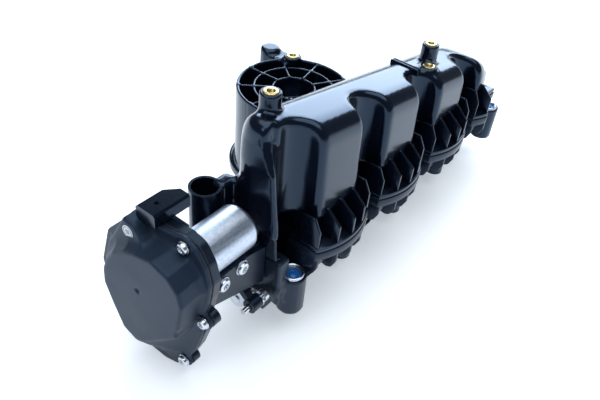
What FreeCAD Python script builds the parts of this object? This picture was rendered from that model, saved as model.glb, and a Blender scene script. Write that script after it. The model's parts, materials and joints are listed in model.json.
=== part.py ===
import FreeCAD, Part
import math
import os

from FreeCAD import Placement, Rotation, Vector

# Intake manifold of a four-cylinder engine with swirl flaps and their geared actuator.
# X runs along the row of cylinders, away from the actuator, Z is the bolt direction,
# and the origin lies on the head face, midway along the row. Millimetres.

doc = FreeCAD.newDocument("IntakeManifold")
sheet = doc.addObject("Spreadsheet::Sheet", "Sizes")

CELLS = {
    # cylinder row and head flange
    "pitch": 88, "flange_thick": 22, "flange_front": -16, "flange_back": 32,
    "flange_half": 188, "port_width": 46, "port_depth": 30, "lug_radius": 9,
    "front_lug_y": -24, "rear_lug_y": 38, "end_boss_x": 176, "end_boss_y": -34,
    "end_boss_foot": 10, "end_boss_top": 48.5, "end_boss_radius": 11.5, "sleeve_top": 49.5,
    "sleeve_radius": 9.5, "sleeve_bore": 6.4,
    "short_sleeve_radius": 6, "short_sleeve_bore": 3.9, "short_sleeve_height": 23,
    "seal_groove": 2, "seal_width": 3,
    # runner shells
    "wall": 3.5, "seam": 72, "band": 8, "band_half": 36, "band_end": -48, "band_bulge": 10.4,
    "niche_radius": 17, "niche_y": -31, "rib": 2.6, "rib_step": 16.5, "rib_foot": 45,
    "hump_front": -40, "hump_half": 27, "plenum_back": 26, "plenum_floor": 100,
    "plenum_left": -200, "plenum_right": 158, "plenum_top": 151, "plenum_fall": 0.1705,
    # inlet drum
    "inlet_x": -81, "inlet_y": 50, "inlet_radius": 47, "inlet_rim": 140, "inlet_base": 56,
    "inlet_bore": 26, "inlet_web": 120, "inlet_lip": 3, "inlet_shift": 10,
    # inserts
    "insert_radius": 5.5, "insert_bore": 2.5, "insert_length": 12, "insert_boss": 8,
    # sensor cup
    "cup_x": -213.5, "cup_y": 24, "cup_radius": 12.2, "cup_wall": 2, "cup_top": 125,
    "cup_depth": 26, "cup_foot": 75,
    # actuator
    "idler_y": 14.6, "idler_z": 82.2, "motor_angle": 133.3, "output_angle": -59.8,
    "gear_module": 0.8, "pinion_teeth": 12, "wheel_teeth": 72,
    "sector_module": 1, "small_teeth": 14, "sector_teeth": 79,
    "case_back": -257, "case_floor": 3, "case_split": -263, "cover_front": -288,
    "cover_flange": 3.5, "gasket": 1, "can_radius": 17.7, "can_length": 47, "can_wall": 1.2,
    "motor_shaft_radius": 1.6, "output_shaft_radius": 4, "idler_pin_radius": 2.5,
    "bush_wall": 1.5, "running_gap": 0.05, "backlash": 0.08,
    # linkage
    "flap_y": 0, "flap_z": 14, "flap_shaft_radius": 4, "arm_y": -26, "arm_z": 23,
    "arm_thick": 4, "stud_radius": 2.5, "ball_radius": 4, "socket_radius": 6,
    "link_plane": -213, "lever_plane": -204, "crank_plane": -238, "flap_thick": 1.6,
}
for row, (alias, number) in enumerate(CELLS.items(), start=1):
    sheet.set("A%d" % row, alias)
    sheet.set("B%d" % row, str(number))
    sheet.setAlias("B%d" % row, alias)
doc.recompute()


def size(alias):
    """Value of one cell of the sheet."""
    return float(sheet.get(alias))


AXIS = {"X": Vector(1, 0, 0), "Y": Vector(0, 1, 0), "Z": Vector(0, 0, 1)}
TURN = {name: Rotation(AXIS["Z"], along) for name, along in AXIS.items()}
nodes = []


def node(obj, label):
    """Register an object of the document as one sub-part of the assembly."""
    obj.Label = label
    nodes.append(obj)
    return obj


# ---- primitives and booleans whose sizes follow the sheet ----

def primitive(kind, base, axis="Z", **formulas):
    obj = doc.addObject("Part::" + kind, kind)
    for prop, formula in formulas.items():
        obj.setExpression(prop, formula)
    obj.Placement = Placement(Vector(*base), TURN[axis])
    return obj


def rod(base, radius, length, axis="Z"):
    return primitive("Cylinder", base, axis, Radius=radius, Height=length)


def cut(base, tool):
    obj = doc.addObject("Part::Cut", "Cut")
    obj.Base = base
    obj.Tool = tool
    return obj


def fuse(*pieces):
    obj = doc.addObject("Part::MultiFuse", "Fuse")
    obj.Shapes = list(pieces)
    return obj


def together(pieces):
    obj = doc.addObject("Part::Compound", "Group")
    obj.Links = list(pieces)
    return obj


def tube(base, outer, inner, length, axis="Z"):
    return cut(rod(base, outer, length, axis), rod(base, inner, length, axis))


def feature(shape, label):
    """A sub-part whose shape comes from Part's own functions."""
    obj = doc.addObject("Part::Feature", label)
    obj.Shape = shape
    return node(obj, label)


# ---- outlines ----

def rounded(points, radius):
    """Closed outline in a plane with each corner rounded as far as its sides allow."""
    count = len(points)
    corners = [Vector(a, b, 0) for a, b in points]
    starts, edges = [], []
    for i, corner in enumerate(corners):
        before, after = corners[i - 1] - corner, corners[(i + 1) % count] - corner
        half = before.getAngle(after) / 2
        reach = min(radius / math.tan(half), 0.45 * before.Length, 0.45 * after.Length)
        before.normalize()
        after.normalize()
        first, last = corner + before * reach, corner + after * reach
        middle = corner + (before + after).normalize() * (
            reach / math.cos(half) - reach * math.tan(half))
        starts.append((first, middle, last))
    for i, (first, middle, last) in enumerate(starts):
        edges.append(Part.Arc(first, middle, last))
        edges.append(Part.LineSegment(last, starts[(i + 1) % count][0]))
    return edges


def shrunk(points, distance):
    """Outline whose sides have all moved inwards by the same distance."""
    corners = [Vector(a, b, 0) for a, b in points]
    area = sum(corners[i - 1].cross(corner).z for i, corner in enumerate(corners))
    inward = math.copysign(distance, area)
    moved = []
    for i, corner in enumerate(corners):
        before = (corner - corners[i - 1]).normalize()
        after = (corners[(i + 1) % len(corners)] - corner).normalize()
        first, second = Vector(-before.y, before.x), Vector(-after.y, after.x)
        spot = corner + (first + second) * (inward / (1 + first.dot(second)))
        moved.append((spot.x, spot.y))
    return moved


def box(low, high):
    low, high = Vector(*low), Vector(*high)
    span = high - low
    return Part.makeBox(span.x, span.y, span.z, low)


def cylinder(base, radius, length, axis="Z"):
    return Part.makeCylinder(radius, length, Vector(*base), AXIS[axis])


def tube_solid(base, outer, inner, length, axis="Z"):
    low = [a - b for a, b in zip(base, AXIS[axis])]
    return cylinder(base, outer, length, axis).cut(cylinder(low, inner, length + 2, axis))


def face_yz(x, edges):
    """Face in the plane of constant x from an outline given in Y and Z."""
    wire = Part.Wire([e.toShape() for e in edges])
    frame = FreeCAD.Matrix(0, 0, 1, x, 1, 0, 0, 0, 0, 1, 0, 0, 0, 0, 0, 1)
    return Part.Face(wire.transformGeometry(frame))


def slab_yz(x, points, thick, radius=0.0):
    """Plate normal to X that starts at x."""
    if radius:
        return face_yz(x, rounded(points, radius)).extrude(Vector(thick, 0, 0))
    loop = [Vector(x, y, z) for y, z in points]
    return Part.Face(Part.makePolygon(loop + loop[:1])).extrude(Vector(thick, 0, 0))


def joined(shapes):
    first, rest = shapes[0], shapes[1:]
    return first.multiFuse(rest).removeSplitter()


def padded(label, role, offset, loops, length):
    """Sub-part made as a pad of closed outlines on one of its own origin planes."""
    body = doc.addObject("PartDesign::Body", label)
    plane = next(f for f in body.Origin.OriginFeatures if f.Role == role)
    sketch = body.newObject("Sketcher::SketchObject", label + "_outline")
    sketch.AttachmentSupport = [(plane, "")]
    sketch.MapMode = "FlatFace"
    sketch.AttachmentOffset = Placement(Vector(0, 0, offset), Rotation())
    for loop in loops:
        for edge in loop:
            sketch.addGeometry(edge, False)
    pad = body.newObject("PartDesign::Pad", label + "_pad")
    pad.Profile = sketch
    pad.setExpression("Length", length)
    doc.recompute()
    return node(body, label)


# ---- the row of cylinders ----
PITCH = size("pitch")
CENTRES = [PITCH * (i - 1.5) for i in range(4)]
NICHES = [PITCH * (i - 2) for i in range(4)]
SEAM = size("seam")
WALL = size("wall")
FLAP_Y, FLAP_Z = size("flap_y"), size("flap_z")
FLANGE = size("flange_thick")
LUG_X = [-PITCH, 0.0, PITCH]
LUGS = [(x, y) for y in (size("front_lug_y"), size("rear_lug_y")) for x in LUG_X]
END_BOSSES = [(side * size("end_boss_x"), size("end_boss_y")) for side in (-1, 1)]
RIB_OFFSETS = [size("rib_step") * i for i in (-2, -1, 0, 1, 2)]


def band_front(offset):
    """Y of the bulging band at an offset from its hump's middle."""
    part = offset / size("band_half")
    return size("band_end") - size("band_bulge") * (1 - part * part)


def d_plate(centre, low, high, back=-20.0, inset=0.0):
    """Plate with a straight back and the bulging front of the band."""
    half = size("band_half") - inset
    end = size("band_end") + inset
    arc = Part.Arc(Vector(centre - half, end, low),
                   Vector(centre, band_front(0) + inset, low),
                   Vector(centre + half, end, low)).toShape()
    corners = [Vector(centre + half, end, low), Vector(centre + half, back, low),
               Vector(centre - half, back, low), Vector(centre - half, end, low)]
    lines = [Part.makeLine(a, b) for a, b in zip(corners, corners[1:])]
    return Part.Face(Part.Wire([arc] + lines)).extrude(Vector(0, 0, high - low))


def duct(centre, low, high, half_low, half_high, front_low, front_high, back_low, back_high):
    """Four-sided tapering block between two heights."""
    loops = []
    for z, half, front, back in ((low, half_low, front_low, back_low),
                                 (high, half_high, front_high, back_high)):
        corners = [Vector(centre - half, front, z), Vector(centre + half, front, z),
                   Vector(centre + half, back, z), Vector(centre - half, back, z)]
        loops.append(Part.makePolygon(corners + corners[:1]))
    return Part.makeLoft(loops, True, True)


PORT_HALF, PORT_SIDE = size("port_width") / 2, size("port_depth") / 2
PORT_FRONT, PORT_BACK = FLAP_Y - PORT_SIDE, FLAP_Y + PORT_SIDE
RUNNER_FRONT, RUNNER_BACK, RUNNER_HALF = -33.0, 16.0, 23.5


def runner(centre, grow):
    """Runner between the head flange and the seam, grown by a wall."""
    return duct(centre, FLANGE, SEAM, PORT_HALF + grow, RUNNER_HALF + grow,
                PORT_FRONT - grow, RUNNER_FRONT - grow, PORT_BACK + grow, RUNNER_BACK + grow)


# ---- head flange: carries the ports, the flap shaft and the bolt lugs ----

def port_hole(centre):
    low, high = Vector(centre, FLAP_Y, -1), FLANGE + 2
    straight = PORT_HALF - PORT_SIDE
    left = cylinder((centre - straight, FLAP_Y, low.z), PORT_SIDE, high)
    right = cylinder((centre + straight, FLAP_Y, low.z), PORT_SIDE, high)
    middle = box((centre - straight, PORT_FRONT, low.z), (centre + straight, PORT_BACK, high - 1))
    return joined([middle, left, right])


def head_flange():
    half, front, back = size("flange_half"), size("flange_front"), size("flange_back")
    plate = box((-half, front, 0), (half, back, FLANGE))
    lugs = [cylinder((x, y, 0), size("lug_radius"), FLANGE) for x, y in LUGS]
    shape = joined([plate] + lugs)
    tools = [port_hole(x) for x in CENTRES]
    tools += [cylinder((x, y, -1), size("short_sleeve_radius"), FLANGE + 2) for x, y in LUGS]
    tools.append(cylinder((-half - 1, FLAP_Y, FLAP_Z),
                          size("flap_shaft_radius") + size("bush_wall"), 2 * half - 14, "X"))
    for x in CENTRES:
        tools.append(port_groove(x))
    feature(shape.cut(tools), "head_flange")


def port_outline(centre, grow, low, high):
    """Oval block round a port."""
    straight, radius = PORT_HALF - PORT_SIDE, PORT_SIDE + grow
    ends = [cylinder((centre + side * straight, FLAP_Y, low), radius, high - low)
            for side in (-1, 1)]
    middle = box((centre - straight, FLAP_Y - radius, low), (centre + straight, FLAP_Y + radius, high))
    return joined([middle] + ends)


SEAL_INSET = 3.0


def port_groove(centre):
    depth, width = size("seal_groove"), size("seal_width")
    outer = port_outline(centre, SEAL_INSET + width, -1, depth)
    return outer.cut(port_outline(centre, SEAL_INSET, -1.5, depth + 0.5))


def port_seals():
    rings = []
    for x in CENTRES:
        outer = port_outline(x, SEAL_INSET + size("seal_width"), 0, size("seal_groove"))
        rings.append(outer.cut(port_outline(x, SEAL_INSET, -1, size("seal_groove") + 1)))
    feature(Part.makeCompound(rings), "port_seals")


# ---- lower shell: ribbed runner halves, weld band, end bosses and actuator bosses ----
END_WALL = -196.0
BRACKET_FACE, BRACKET_THICK = -22.0, 4.0
ARM_FRONT = BRACKET_FACE + BRACKET_THICK
ARM_BACK = -9.0
BRACKET_SCREWS = [(-242.8, 79.9), (-223.6, 82.3)]
SCREW_DRILL = 2.0


def actuator_arm():
    """Solid arm of the lower shell that carries the actuator bracket."""
    outline = [(ARM_FRONT, 56), (ARM_FRONT, 87), (ARM_BACK, 85.5), (ARM_BACK, 66), (-13, 56)]
    root = [(ARM_FRONT, 56), (ARM_FRONT, SEAM), (ARM_BACK, SEAM), (ARM_BACK, 66), (-13, 56)]
    free, end = -249.0, END_WALL - 1
    return [slab_yz(free, outline, end - free), slab_yz(end, root, 3)]


def lower_rib(centre, offset):
    edge = band_front(offset)
    foot = size("rib_foot")
    points = [(-18, SEAM - 2), (edge, SEAM - 2), (edge + 0.8, foot + 10), (edge + 4.5, foot + 2),
              (edge + 9, foot), (edge + 14, foot + 1), (-26, 27), (-17, FLANGE)]
    return slab_yz(centre + offset - size("rib") / 2, points, size("rib"), 3.0)


def belly(centre):
    """Curved pan that carries the ribs below the band."""
    points = [(-18, SEAM - 4), (-50, SEAM - 4), (-48, 56), (-40, 46), (-24, 31), (-17, FLANGE)]
    half = size("band_half") - 4
    return slab_yz(centre - half, points, 2 * half, 6.0)


def lower_shell():
    solids = []
    for x in CENTRES:
        solids.append(runner(x, WALL))
        solids.append(d_plate(x, SEAM - size("band"), SEAM))
        solids.append(belly(x))
        solids += [lower_rib(x, offset) for offset in RIB_OFFSETS]
    web_left, web_right = -186.0, 172.0
    solids.append(box((web_left, 8, FLANGE), (web_right, 12, SEAM)))
    wall = [(-36, SEAM), (-36, 40), (-31, 34), (-24, 27), (20, 27), (20, SEAM)]
    solids.append(slab_yz(END_WALL, wall, 12))
    foot, top = size("end_boss_foot"), size("end_boss_top")
    for x, y in END_BOSSES:
        solids.append(cylinder((x, y, foot), size("end_boss_radius"), top - foot))
        solids.append(box((x - 4, y, foot + 2), (x + 4, 12, 44)))
    solids += actuator_arm()
    near_x, near_y = END_BOSSES[0]
    solids.append(box((END_WALL, near_y - 2, 26), (near_x, near_y + 4, 44)))
    far_x, far_y = END_BOSSES[1]
    solids.append(box((far_x - 24, far_y - 2, 24), (far_x, far_y + 4, 46)))
    shape = joined(solids)
    tools = [runner(x, 0) for x in CENTRES]
    tools += [cylinder((x, y, -1), size("sleeve_radius"), 60) for x, y in END_BOSSES]
    tools.append(box((-188.5, -17, -1), (188.5, 33, FLANGE)))
    tools += [cylinder((x, y, FLANGE), 11, 20) for x, y in LUGS[:3]]
    tools += [cylinder((x, ARM_FRONT - 1, z), SCREW_DRILL, 12, "Y") for x, z in BRACKET_SCREWS]
    shape = shape.cut(tools)
    feature(shape, "lower_shell")


# ---- upper shell: plenum above four runner humps with deep bolt niches ----

SLOPE_START_X = 118.0
SLOPE_DROP = 34.0


def plenum_loop(x, inset):
    """Section of the plenum at one place along the row."""
    top = size("plenum_top") - size("plenum_fall") * x - inset
    front, back = size("hump_front") + inset, size("plenum_back") - inset
    low = size("plenum_floor") + inset
    points = [(back, low), (back, top - 16), (back - 17, top), (-24, top),
              (front + 3, top - 9), (front, top - 16), (front, low)]
    corners = [Vector(x, y, z) for y, z in points]
    return Part.makePolygon(corners + corners[:1])


def plenum_loft(inset):
    """Plenum body whose top falls along the row and drops away at the far end."""
    left, right = size("plenum_left") + inset, size("plenum_right") - inset
    body = Part.makeLoft([plenum_loop(left, inset), plenum_loop(right, inset)], True, True)
    high = size("plenum_top") - size("plenum_fall") * SLOPE_START_X - inset
    end = size("plenum_right") + 4
    corners = [Vector(SLOPE_START_X, -60, high), Vector(end, -60, high - SLOPE_DROP),
               Vector(end, -60, high + 20), Vector(SLOPE_START_X, -60, high + 20)]
    wedge = Part.Face(Part.makePolygon(corners + corners[:1])).extrude(Vector(0, 120, 0))
    return body.cut(wedge)


def niche(x, radius, low):
    top = size("plenum_top") - size("plenum_fall") * x + 20
    return joined([cylinder((x, size("niche_y"), low), radius, top - low),
                   box((x - radius, size("niche_y") - 30, low), (x + radius, size("niche_y"), top))])


NOSE = [(-60, 104), (-33, 108), (-27, 149), (-14, 160), (-12, 215), (-60, 215)]
NOSE_RIGHT = -184.0


def nose_gap(grow=0.0):
    """Space in front of the near end, where its wall leans back beside the first niche."""
    start = size("plenum_left") - 10
    return slab_yz(start, shrunk(NOSE, -grow), NOSE_RIGHT + grow - start)


def upper_fin(centre, offset):
    edge = band_front(offset) + 1
    points = [(-30, SEAM), (edge, SEAM), (edge, 93), (-42, 104), (-30, 104)]
    return slab_yz(centre + offset - size("rib") / 2, points, size("rib"))


NECK_HALF, NECK_LOW, NECK_HIGH = 38.0, 104.0, 132.0
DRUM_X, DRUM_Y = size("inlet_x"), size("inlet_y")


def neck(grow):
    return box((DRUM_X - NECK_HALF - grow, 18, NECK_LOW - grow),
               (DRUM_X + NECK_HALF + grow, 34, NECK_HIGH + grow))


TOP_INSERTS = [(-170.0, 4.0, 14.0), (40.0, -9.0, 18.0), (26.0, -18.0, 2.0)]
BOSS_ROOT = 6.0


def top_height(x):
    return size("plenum_top") - size("plenum_fall") * x


def upper_shell():
    half, front = size("hump_half"), size("hump_front")
    floor = size("plenum_floor")
    outer = [plenum_loft(0.0)]
    for x in CENTRES:
        outer.append(box((x - half, front + 4, SEAM), (x + half, RUNNER_BACK + WALL, floor + 4)))
        outer.append(d_plate(x, SEAM, SEAM + 4))
        outer += [upper_fin(x, offset) for offset in RIB_OFFSETS]
    outer.append(box((-186, 8, SEAM), (158, 12, floor + 2)))
    outer.append(box((END_WALL - 1, -36, SEAM), (END_WALL + 8, 20, floor + 2)))
    shell = joined(outer)
    shell = shell.cut([niche(x, size("niche_radius"), SEAM + 4) for x in NICHES])
    shell = shell.cut(nose_gap())
    inner = [plenum_loft(WALL)]
    for x in CENTRES:
        inner.append(box((x - RUNNER_HALF, RUNNER_FRONT, SEAM - 1),
                         (x + RUNNER_HALF, RUNNER_BACK, floor + 8)))
    walls = [niche(x, size("niche_radius") + WALL, SEAM) for x in NICHES] + [nose_gap(WALL)]
    for space in inner:
        shell = shell.cut(space.cut(walls))
    shell = shell.cut(neck(0.0))
    bosses, holes = [], []
    length = size("insert_length")
    for x, y, rise in TOP_INSERTS:
        top = top_height(x) + rise
        base = top - max(rise, length) - BOSS_ROOT
        bosses.append(cylinder((x, y, base), size("insert_boss"), top - base))
        holes.append(cylinder((x, y, top - length), size("insert_radius"), length + 1))
    shell = shell.fuse(bosses).cut(holes)
    feature(shell, "upper_shell")


# ---- inlet drum: ribbed top, hollow chamber, neck into the plenum, flange below ----
RIM_LUGS = [(-45.0, 82.0), (-45.0, 108.0)]
DRUM = size("inlet_radius")
RIM, WEB, BASE = size("inlet_rim"), size("inlet_web"), size("inlet_base")
FLANGE_TOP = BASE + 8
FLANGE_Y = DRUM_Y + size("inlet_shift")
FLANGE_LUG_RADIUS = 38.0
FLANGE_LUG_ANGLES = [90, 210, 330]
RIM_BOSS_TOP = RIM + 5


def flange_lugs():
    spots = []
    for angle in FLANGE_LUG_ANGLES:
        turn = math.radians(angle)
        spots.append((DRUM_X + FLANGE_LUG_RADIUS * math.cos(turn),
                      FLANGE_Y + FLANGE_LUG_RADIUS * math.sin(turn)))
    return spots


def inlet_housing():
    lip = size("inlet_lip")
    centre = (DRUM_X, DRUM_Y, BASE)
    solids = [cylinder(centre, DRUM, RIM - BASE), neck(WALL)]
    solids.append(cylinder((DRUM_X, FLANGE_Y, BASE), DRUM, FLANGE_TOP - BASE))
    for x, y in flange_lugs():
        solids.append(cylinder((x, y, BASE), size("insert_boss"), 16))
    boss_x, boss_y = RIM_LUGS[0]
    ear_x, ear_y = RIM_LUGS[1]
    solids.append(cylinder((boss_x, boss_y, WEB - 6), size("insert_boss"), RIM_BOSS_TOP - WEB + 6))
    solids.append(cylinder((ear_x, ear_y, WEB), 9, RIM - WEB + 2))
    solids.append(box((ear_x - 9, ear_y - 26, WEB), (ear_x + 9, ear_y, RIM - 2)))
    shape = solids[0].multiFuse(solids[1:])
    tray = cylinder((DRUM_X, DRUM_Y, WEB), DRUM - lip, 40)
    keep = cylinder((boss_x, boss_y, WEB - 1), size("insert_boss"), 60)
    chamber = cylinder((DRUM_X, DRUM_Y, FLANGE_TOP), DRUM - lip, WEB - FLANGE_TOP - lip)
    bore = cylinder((DRUM_X, FLANGE_Y, BASE - 1), size("inlet_bore"), 20)
    groove = tube_solid((DRUM_X, FLANGE_Y, BASE - 1), size("inlet_bore") + 5.5,
                        size("inlet_bore") + 2.5, 3)
    hood = box((DRUM_X - NECK_HALF, 18, NECK_LOW), (DRUM_X + NECK_HALF, 60, WEB - lip))
    plenum = box((-200, -50, 50), (160, size("plenum_back"), 190))
    length = size("insert_length")
    tools = [tray.cut(keep), chamber, bore, groove, neck(0.0), hood, plenum]
    tools += [cylinder((x, y, BASE - 1), size("insert_radius"), length + 1)
              for x, y in flange_lugs()]
    tools.append(cylinder((boss_x, boss_y, RIM_BOSS_TOP - length), size("insert_radius"), 20))
    for tool in tools:
        shape = shape.cut(tool)
    chord_half = math.sqrt(DRUM ** 2 - (DRUM_Y - size("plenum_back")) ** 2)
    chord = box((DRUM_X - chord_half, size("plenum_back"), BASE + lip),
                (DRUM_X + chord_half, size("plenum_back") + lip, NECK_LOW))
    rib_top = RIM - 3
    ribs = [tube_solid((DRUM_X, DRUM_Y, WEB), radius + 1.2, radius - 1.2, rib_top - WEB)
            for radius in (16.0, 31.0)]
    for i in range(8):
        spoke = box((15, -1.2, WEB), (DRUM - lip + 0.5, 1.2, rib_top))
        spoke.rotate(Vector(0, 0, 0), AXIS["Z"], 45 * i + 20)
        spoke.translate(Vector(DRUM_X, DRUM_Y, 0))
        ribs.append(spoke)
    for rib in [chord] + ribs:
        shape = shape.fuse(rib.cut(plenum))
    feature(shape, "inlet_housing")


def small_parts_of_shells():
    """Inserts, sleeves, plugs, seals, bushes and the sensor cup."""
    length = size("insert_length")
    spots = [(x, y, top_height(x) + rise - length) for x, y, rise in TOP_INSERTS]
    spots.append(RIM_LUGS[0] + (RIM_BOSS_TOP - length,))
    spots += [(x, y, BASE) for x, y in flange_lugs()]
    inserts = [tube(spot, "Sizes.insert_radius", "Sizes.insert_bore", "Sizes.insert_length")
               for spot in spots]
    node(together(inserts), "brass_inserts")

    sleeves = [tube((x, y, size("end_boss_foot")), "Sizes.sleeve_radius", "Sizes.sleeve_bore",
                    "Sizes.sleeve_top - Sizes.end_boss_foot") for x, y in END_BOSSES]
    sleeves += [tube((x, y, 0), "Sizes.short_sleeve_radius", "Sizes.short_sleeve_bore",
                     "Sizes.short_sleeve_height") for x, y in LUGS]
    node(together(sleeves), "bolt_sleeves")

    plugs = [rod((x, y, 36), "Sizes.sleeve_bore", "Sizes.sleeve_top - 38")
             for x, y in END_BOSSES]
    node(together(plugs), "sleeve_plugs")

    ring_base = (DRUM_X, FLANGE_Y, BASE)
    node(tube(ring_base, "Sizes.inlet_bore + 5.5", "Sizes.inlet_bore + 2.5", "2 mm"), "inlet_seal")

    bush_spots = [-size("flange_half"), 165.0]
    bushes = [tube((x, FLAP_Y, FLAP_Z), "Sizes.flap_shaft_radius + Sizes.bush_wall",
                   "Sizes.flap_shaft_radius + Sizes.running_gap", "8 mm", "X")
              for x in bush_spots]
    node(together(bushes), "shaft_bushes")

    cup_x, cup_y, cup_top = size("cup_x"), size("cup_y"), size("cup_top")
    depth, radius = size("cup_depth"), size("cup_radius")
    foot = size("cup_foot")
    outside = cylinder((cup_x, cup_y, foot), radius, cup_top - foot)
    inside = cylinder((cup_x, cup_y, cup_top - depth + 2), radius - size("cup_wall"), depth)
    arm = box((cup_x, cup_y - 3, foot + 5), (size("plenum_left"), cup_y + 3, cup_top - 4))
    feature(joined([outside, arm]).cut(inside), "sensor_cup")


# ---- actuator: gear centres ----
IDLER = Vector(size("idler_y"), size("idler_z"))


def beside(centre, distance, degrees):
    turn = math.radians(degrees)
    return centre + Vector(distance * math.cos(turn), distance * math.sin(turn))


FIRST_CENTRES = size("gear_module") * (size("pinion_teeth") + size("wheel_teeth")) / 2
SECOND_CENTRES = size("sector_module") * (size("small_teeth") + size("sector_teeth")) / 2
MOTOR = beside(IDLER, FIRST_CENTRES, size("motor_angle"))
OUTPUT = beside(IDLER, SECOND_CENTRES, size("output_angle"))
BACK, SPLIT, FRONT = size("case_back"), size("case_split"), size("cover_front")
FLOOR = BACK - size("case_floor")
COVER_BACK = SPLIT - size("gasket")
CASE_WALL = 3.5
OUTPUT_BOSS = 10.0
COVER_SCREWS = [(-11.4, 126.5), (-27.8, 65.5), (-6.1, 3.2)]
CASE_OUTLINE = [(-10, 134), (-22, 131), (-30, 119), (-34, 105), (-32, 90), (-28, 74), (-25, 48),
                (-18, 26), (-8, 4), (2, -10), (16, -15), (32, -15), (54, -2), (79, 26), (82, 52),
                (70, 90), (50, 112), (36, 128), (8, 131)]
MAIN_BASE = [(-4, 122), (-17, 120), (-26, 111), (-29, 98), (-25, 80), (-20, 58), (-14, 30),
             (-5, 6), (8, -8), (30, -9), (52, 3), (75, 28), (79, 52), (67, 90), (46, 110),
             (30, 120), (10, 122)]
MAIN_FACE = [(-2, 122), (-17, 118), (-26, 109), (-29, 97), (-26, 80), (-22, 61), (10, 31),
             (17, 25), (24, 21), (37, 26), (46, 46), (52.5, 64), (51, 78), (46.5, 89), (38, 103),
             (26, 112), (15, 117.5)]
CASE_CORNER = 9.0
LOBE = [(53, 86), (53, 98), (34.5, 131), (24, 130), (16, 122), (14, 104)]
LOBE_FRONT = FRONT + 9
HEAD_WAY, HEAD_WALL = 5.4, 2.5

# ---- actuator: gear planes ----
WHEEL_X, WHEEL_WIDTH = FLOOR - 15.0, 4.0
SMALL_X, SMALL_WIDTH = FLOOR - 11.0, 9.0
SECTOR_X, SECTOR_WIDTH = FLOOR - 8.5, 6.0
PINION_X, PINION_WIDTH = FLOOR - 16.0, 6.0
PIN_X, PIN_LENGTH = FLOOR - 19.5, 20.5
BOARD_X = LOBE_FRONT + 3.5


def tabs(x, length, radius=6.5):
    return [cylinder((x, y, z), radius, length, "X") for y, z in COVER_SCREWS]


def case_block(x, length, inset=0.0):
    """Block with the outline of the gear case, or with one that lies inside it by inset."""
    return slab_yz(x, shrunk(CASE_OUTLINE, inset), length, CASE_CORNER - inset)


def ruled(x_low, low, x_high, high, shrink=0.0):
    """Body between two outlines with the same number of corners."""
    loops = []
    for x, outline in ((x_low, low), (x_high, high)):
        loop = [Vector(x, y, z) for y, z in shrunk(outline, shrink)]
        loops.append(Part.makePolygon(loop + loop[:1]))
    return Part.makeLoft(loops, True, True)


def gearbox_housing():
    y, z = OUTPUT.x, OUTPUT.y
    outer = size("output_shaft_radius") + size("bush_wall")
    shape = joined([case_block(SPLIT, BACK - SPLIT)] + tabs(SPLIT, BACK - SPLIT))
    shape = shape.fuse([cylinder((FLOOR, y, z), outer + CASE_WALL, OUTPUT_BOSS, "X"),
                        box((BACK, 2, 122), (BACK + 7, 20, 126))])
    cavity = case_block(SPLIT - 1, FLOOR - SPLIT + 1, CASE_WALL)
    for a, b in COVER_SCREWS:
        cavity = cavity.cut(cylinder((SPLIT - 2, a, b), 4.5, 20, "X"))
    shape = shape.cut(cavity)
    shape = shape.cut(cylinder((FLOOR - 2, y, z), outer, 20, "X"))
    shape = shape.cut(cylinder((FLOOR - 2, MOTOR.x, MOTOR.y), 6.0, 10, "X"))
    shape = shape.cut(cylinder((FLOOR - 1.5, IDLER.x, IDLER.y), size("idler_pin_radius"), 3, "X"))
    for a, b in COVER_SCREWS:
        shape = shape.cut(cylinder((SPLIT - 5, a, b), 2.0, 12, "X"))
    feature(shape, "gearbox_housing")


def gearbox_cover():
    flange = case_block(COVER_BACK - size("cover_flange"), size("cover_flange"))
    main = ruled(COVER_BACK - 1, MAIN_BASE, FRONT, MAIN_FACE)
    lobe = slab_yz(LOBE_FRONT, LOBE, COVER_BACK - LOBE_FRONT, 4.0)
    dimple = cylinder((FRONT - 1, IDLER.x, IDLER.y), 2.2, 2.0, "X")
    shell = joined([flange, main, lobe] + tabs(COVER_BACK - size("cover_flange"),
                                               size("cover_flange")))
    wall = 2.5
    lobe_room = slab_yz(LOBE_FRONT + wall, shrunk(LOBE, wall), COVER_BACK - LOBE_FRONT, 2.0)
    main_room = ruled(COVER_BACK + 1, MAIN_BASE, FRONT + wall, MAIN_FACE, wall)
    wheel_room = cylinder((WHEEL_X - 1.5, IDLER.x, IDLER.y), 31.5, 20, "X")
    screw_holes = [cylinder((FRONT, a, b), 2.2, 40, "X") for a, b in COVER_SCREWS]
    head_room = [cylinder((FRONT - 1, a, b), HEAD_WAY, SCREW_HEAD_X - FRONT + 1, "X")
                 for a, b in COVER_SCREWS]
    keep = [cylinder((FRONT - 1, a, b), HEAD_WAY + HEAD_WALL, 40, "X") for a, b in COVER_SCREWS]
    for room in (lobe_room, main_room, wheel_room):
        shell = shell.cut(room.cut(keep))
    pin_post = cylinder((FRONT + 1, IDLER.x, IDLER.y), 5.0, WHEEL_X - 0.8 - FRONT - 1, "X")
    pin_hole = cylinder((PIN_X - 0.5, IDLER.x, IDLER.y), size("idler_pin_radius"), 20, "X")
    shell = shell.fuse(pin_post).cut([pin_hole, dimple] + screw_holes + head_room)
    feature(shell, "gearbox_cover")


def gasket():
    band = case_block(COVER_BACK, size("gasket")).cut(
        case_block(COVER_BACK - 1, size("gasket") + 2, CASE_WALL))
    holes = [cylinder((COVER_BACK - 1, a, b), 2.2, 5, "X") for a, b in COVER_SCREWS]
    feature(joined([band] + tabs(COVER_BACK, size("gasket"))).cut(holes), "cover_gasket")


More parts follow.
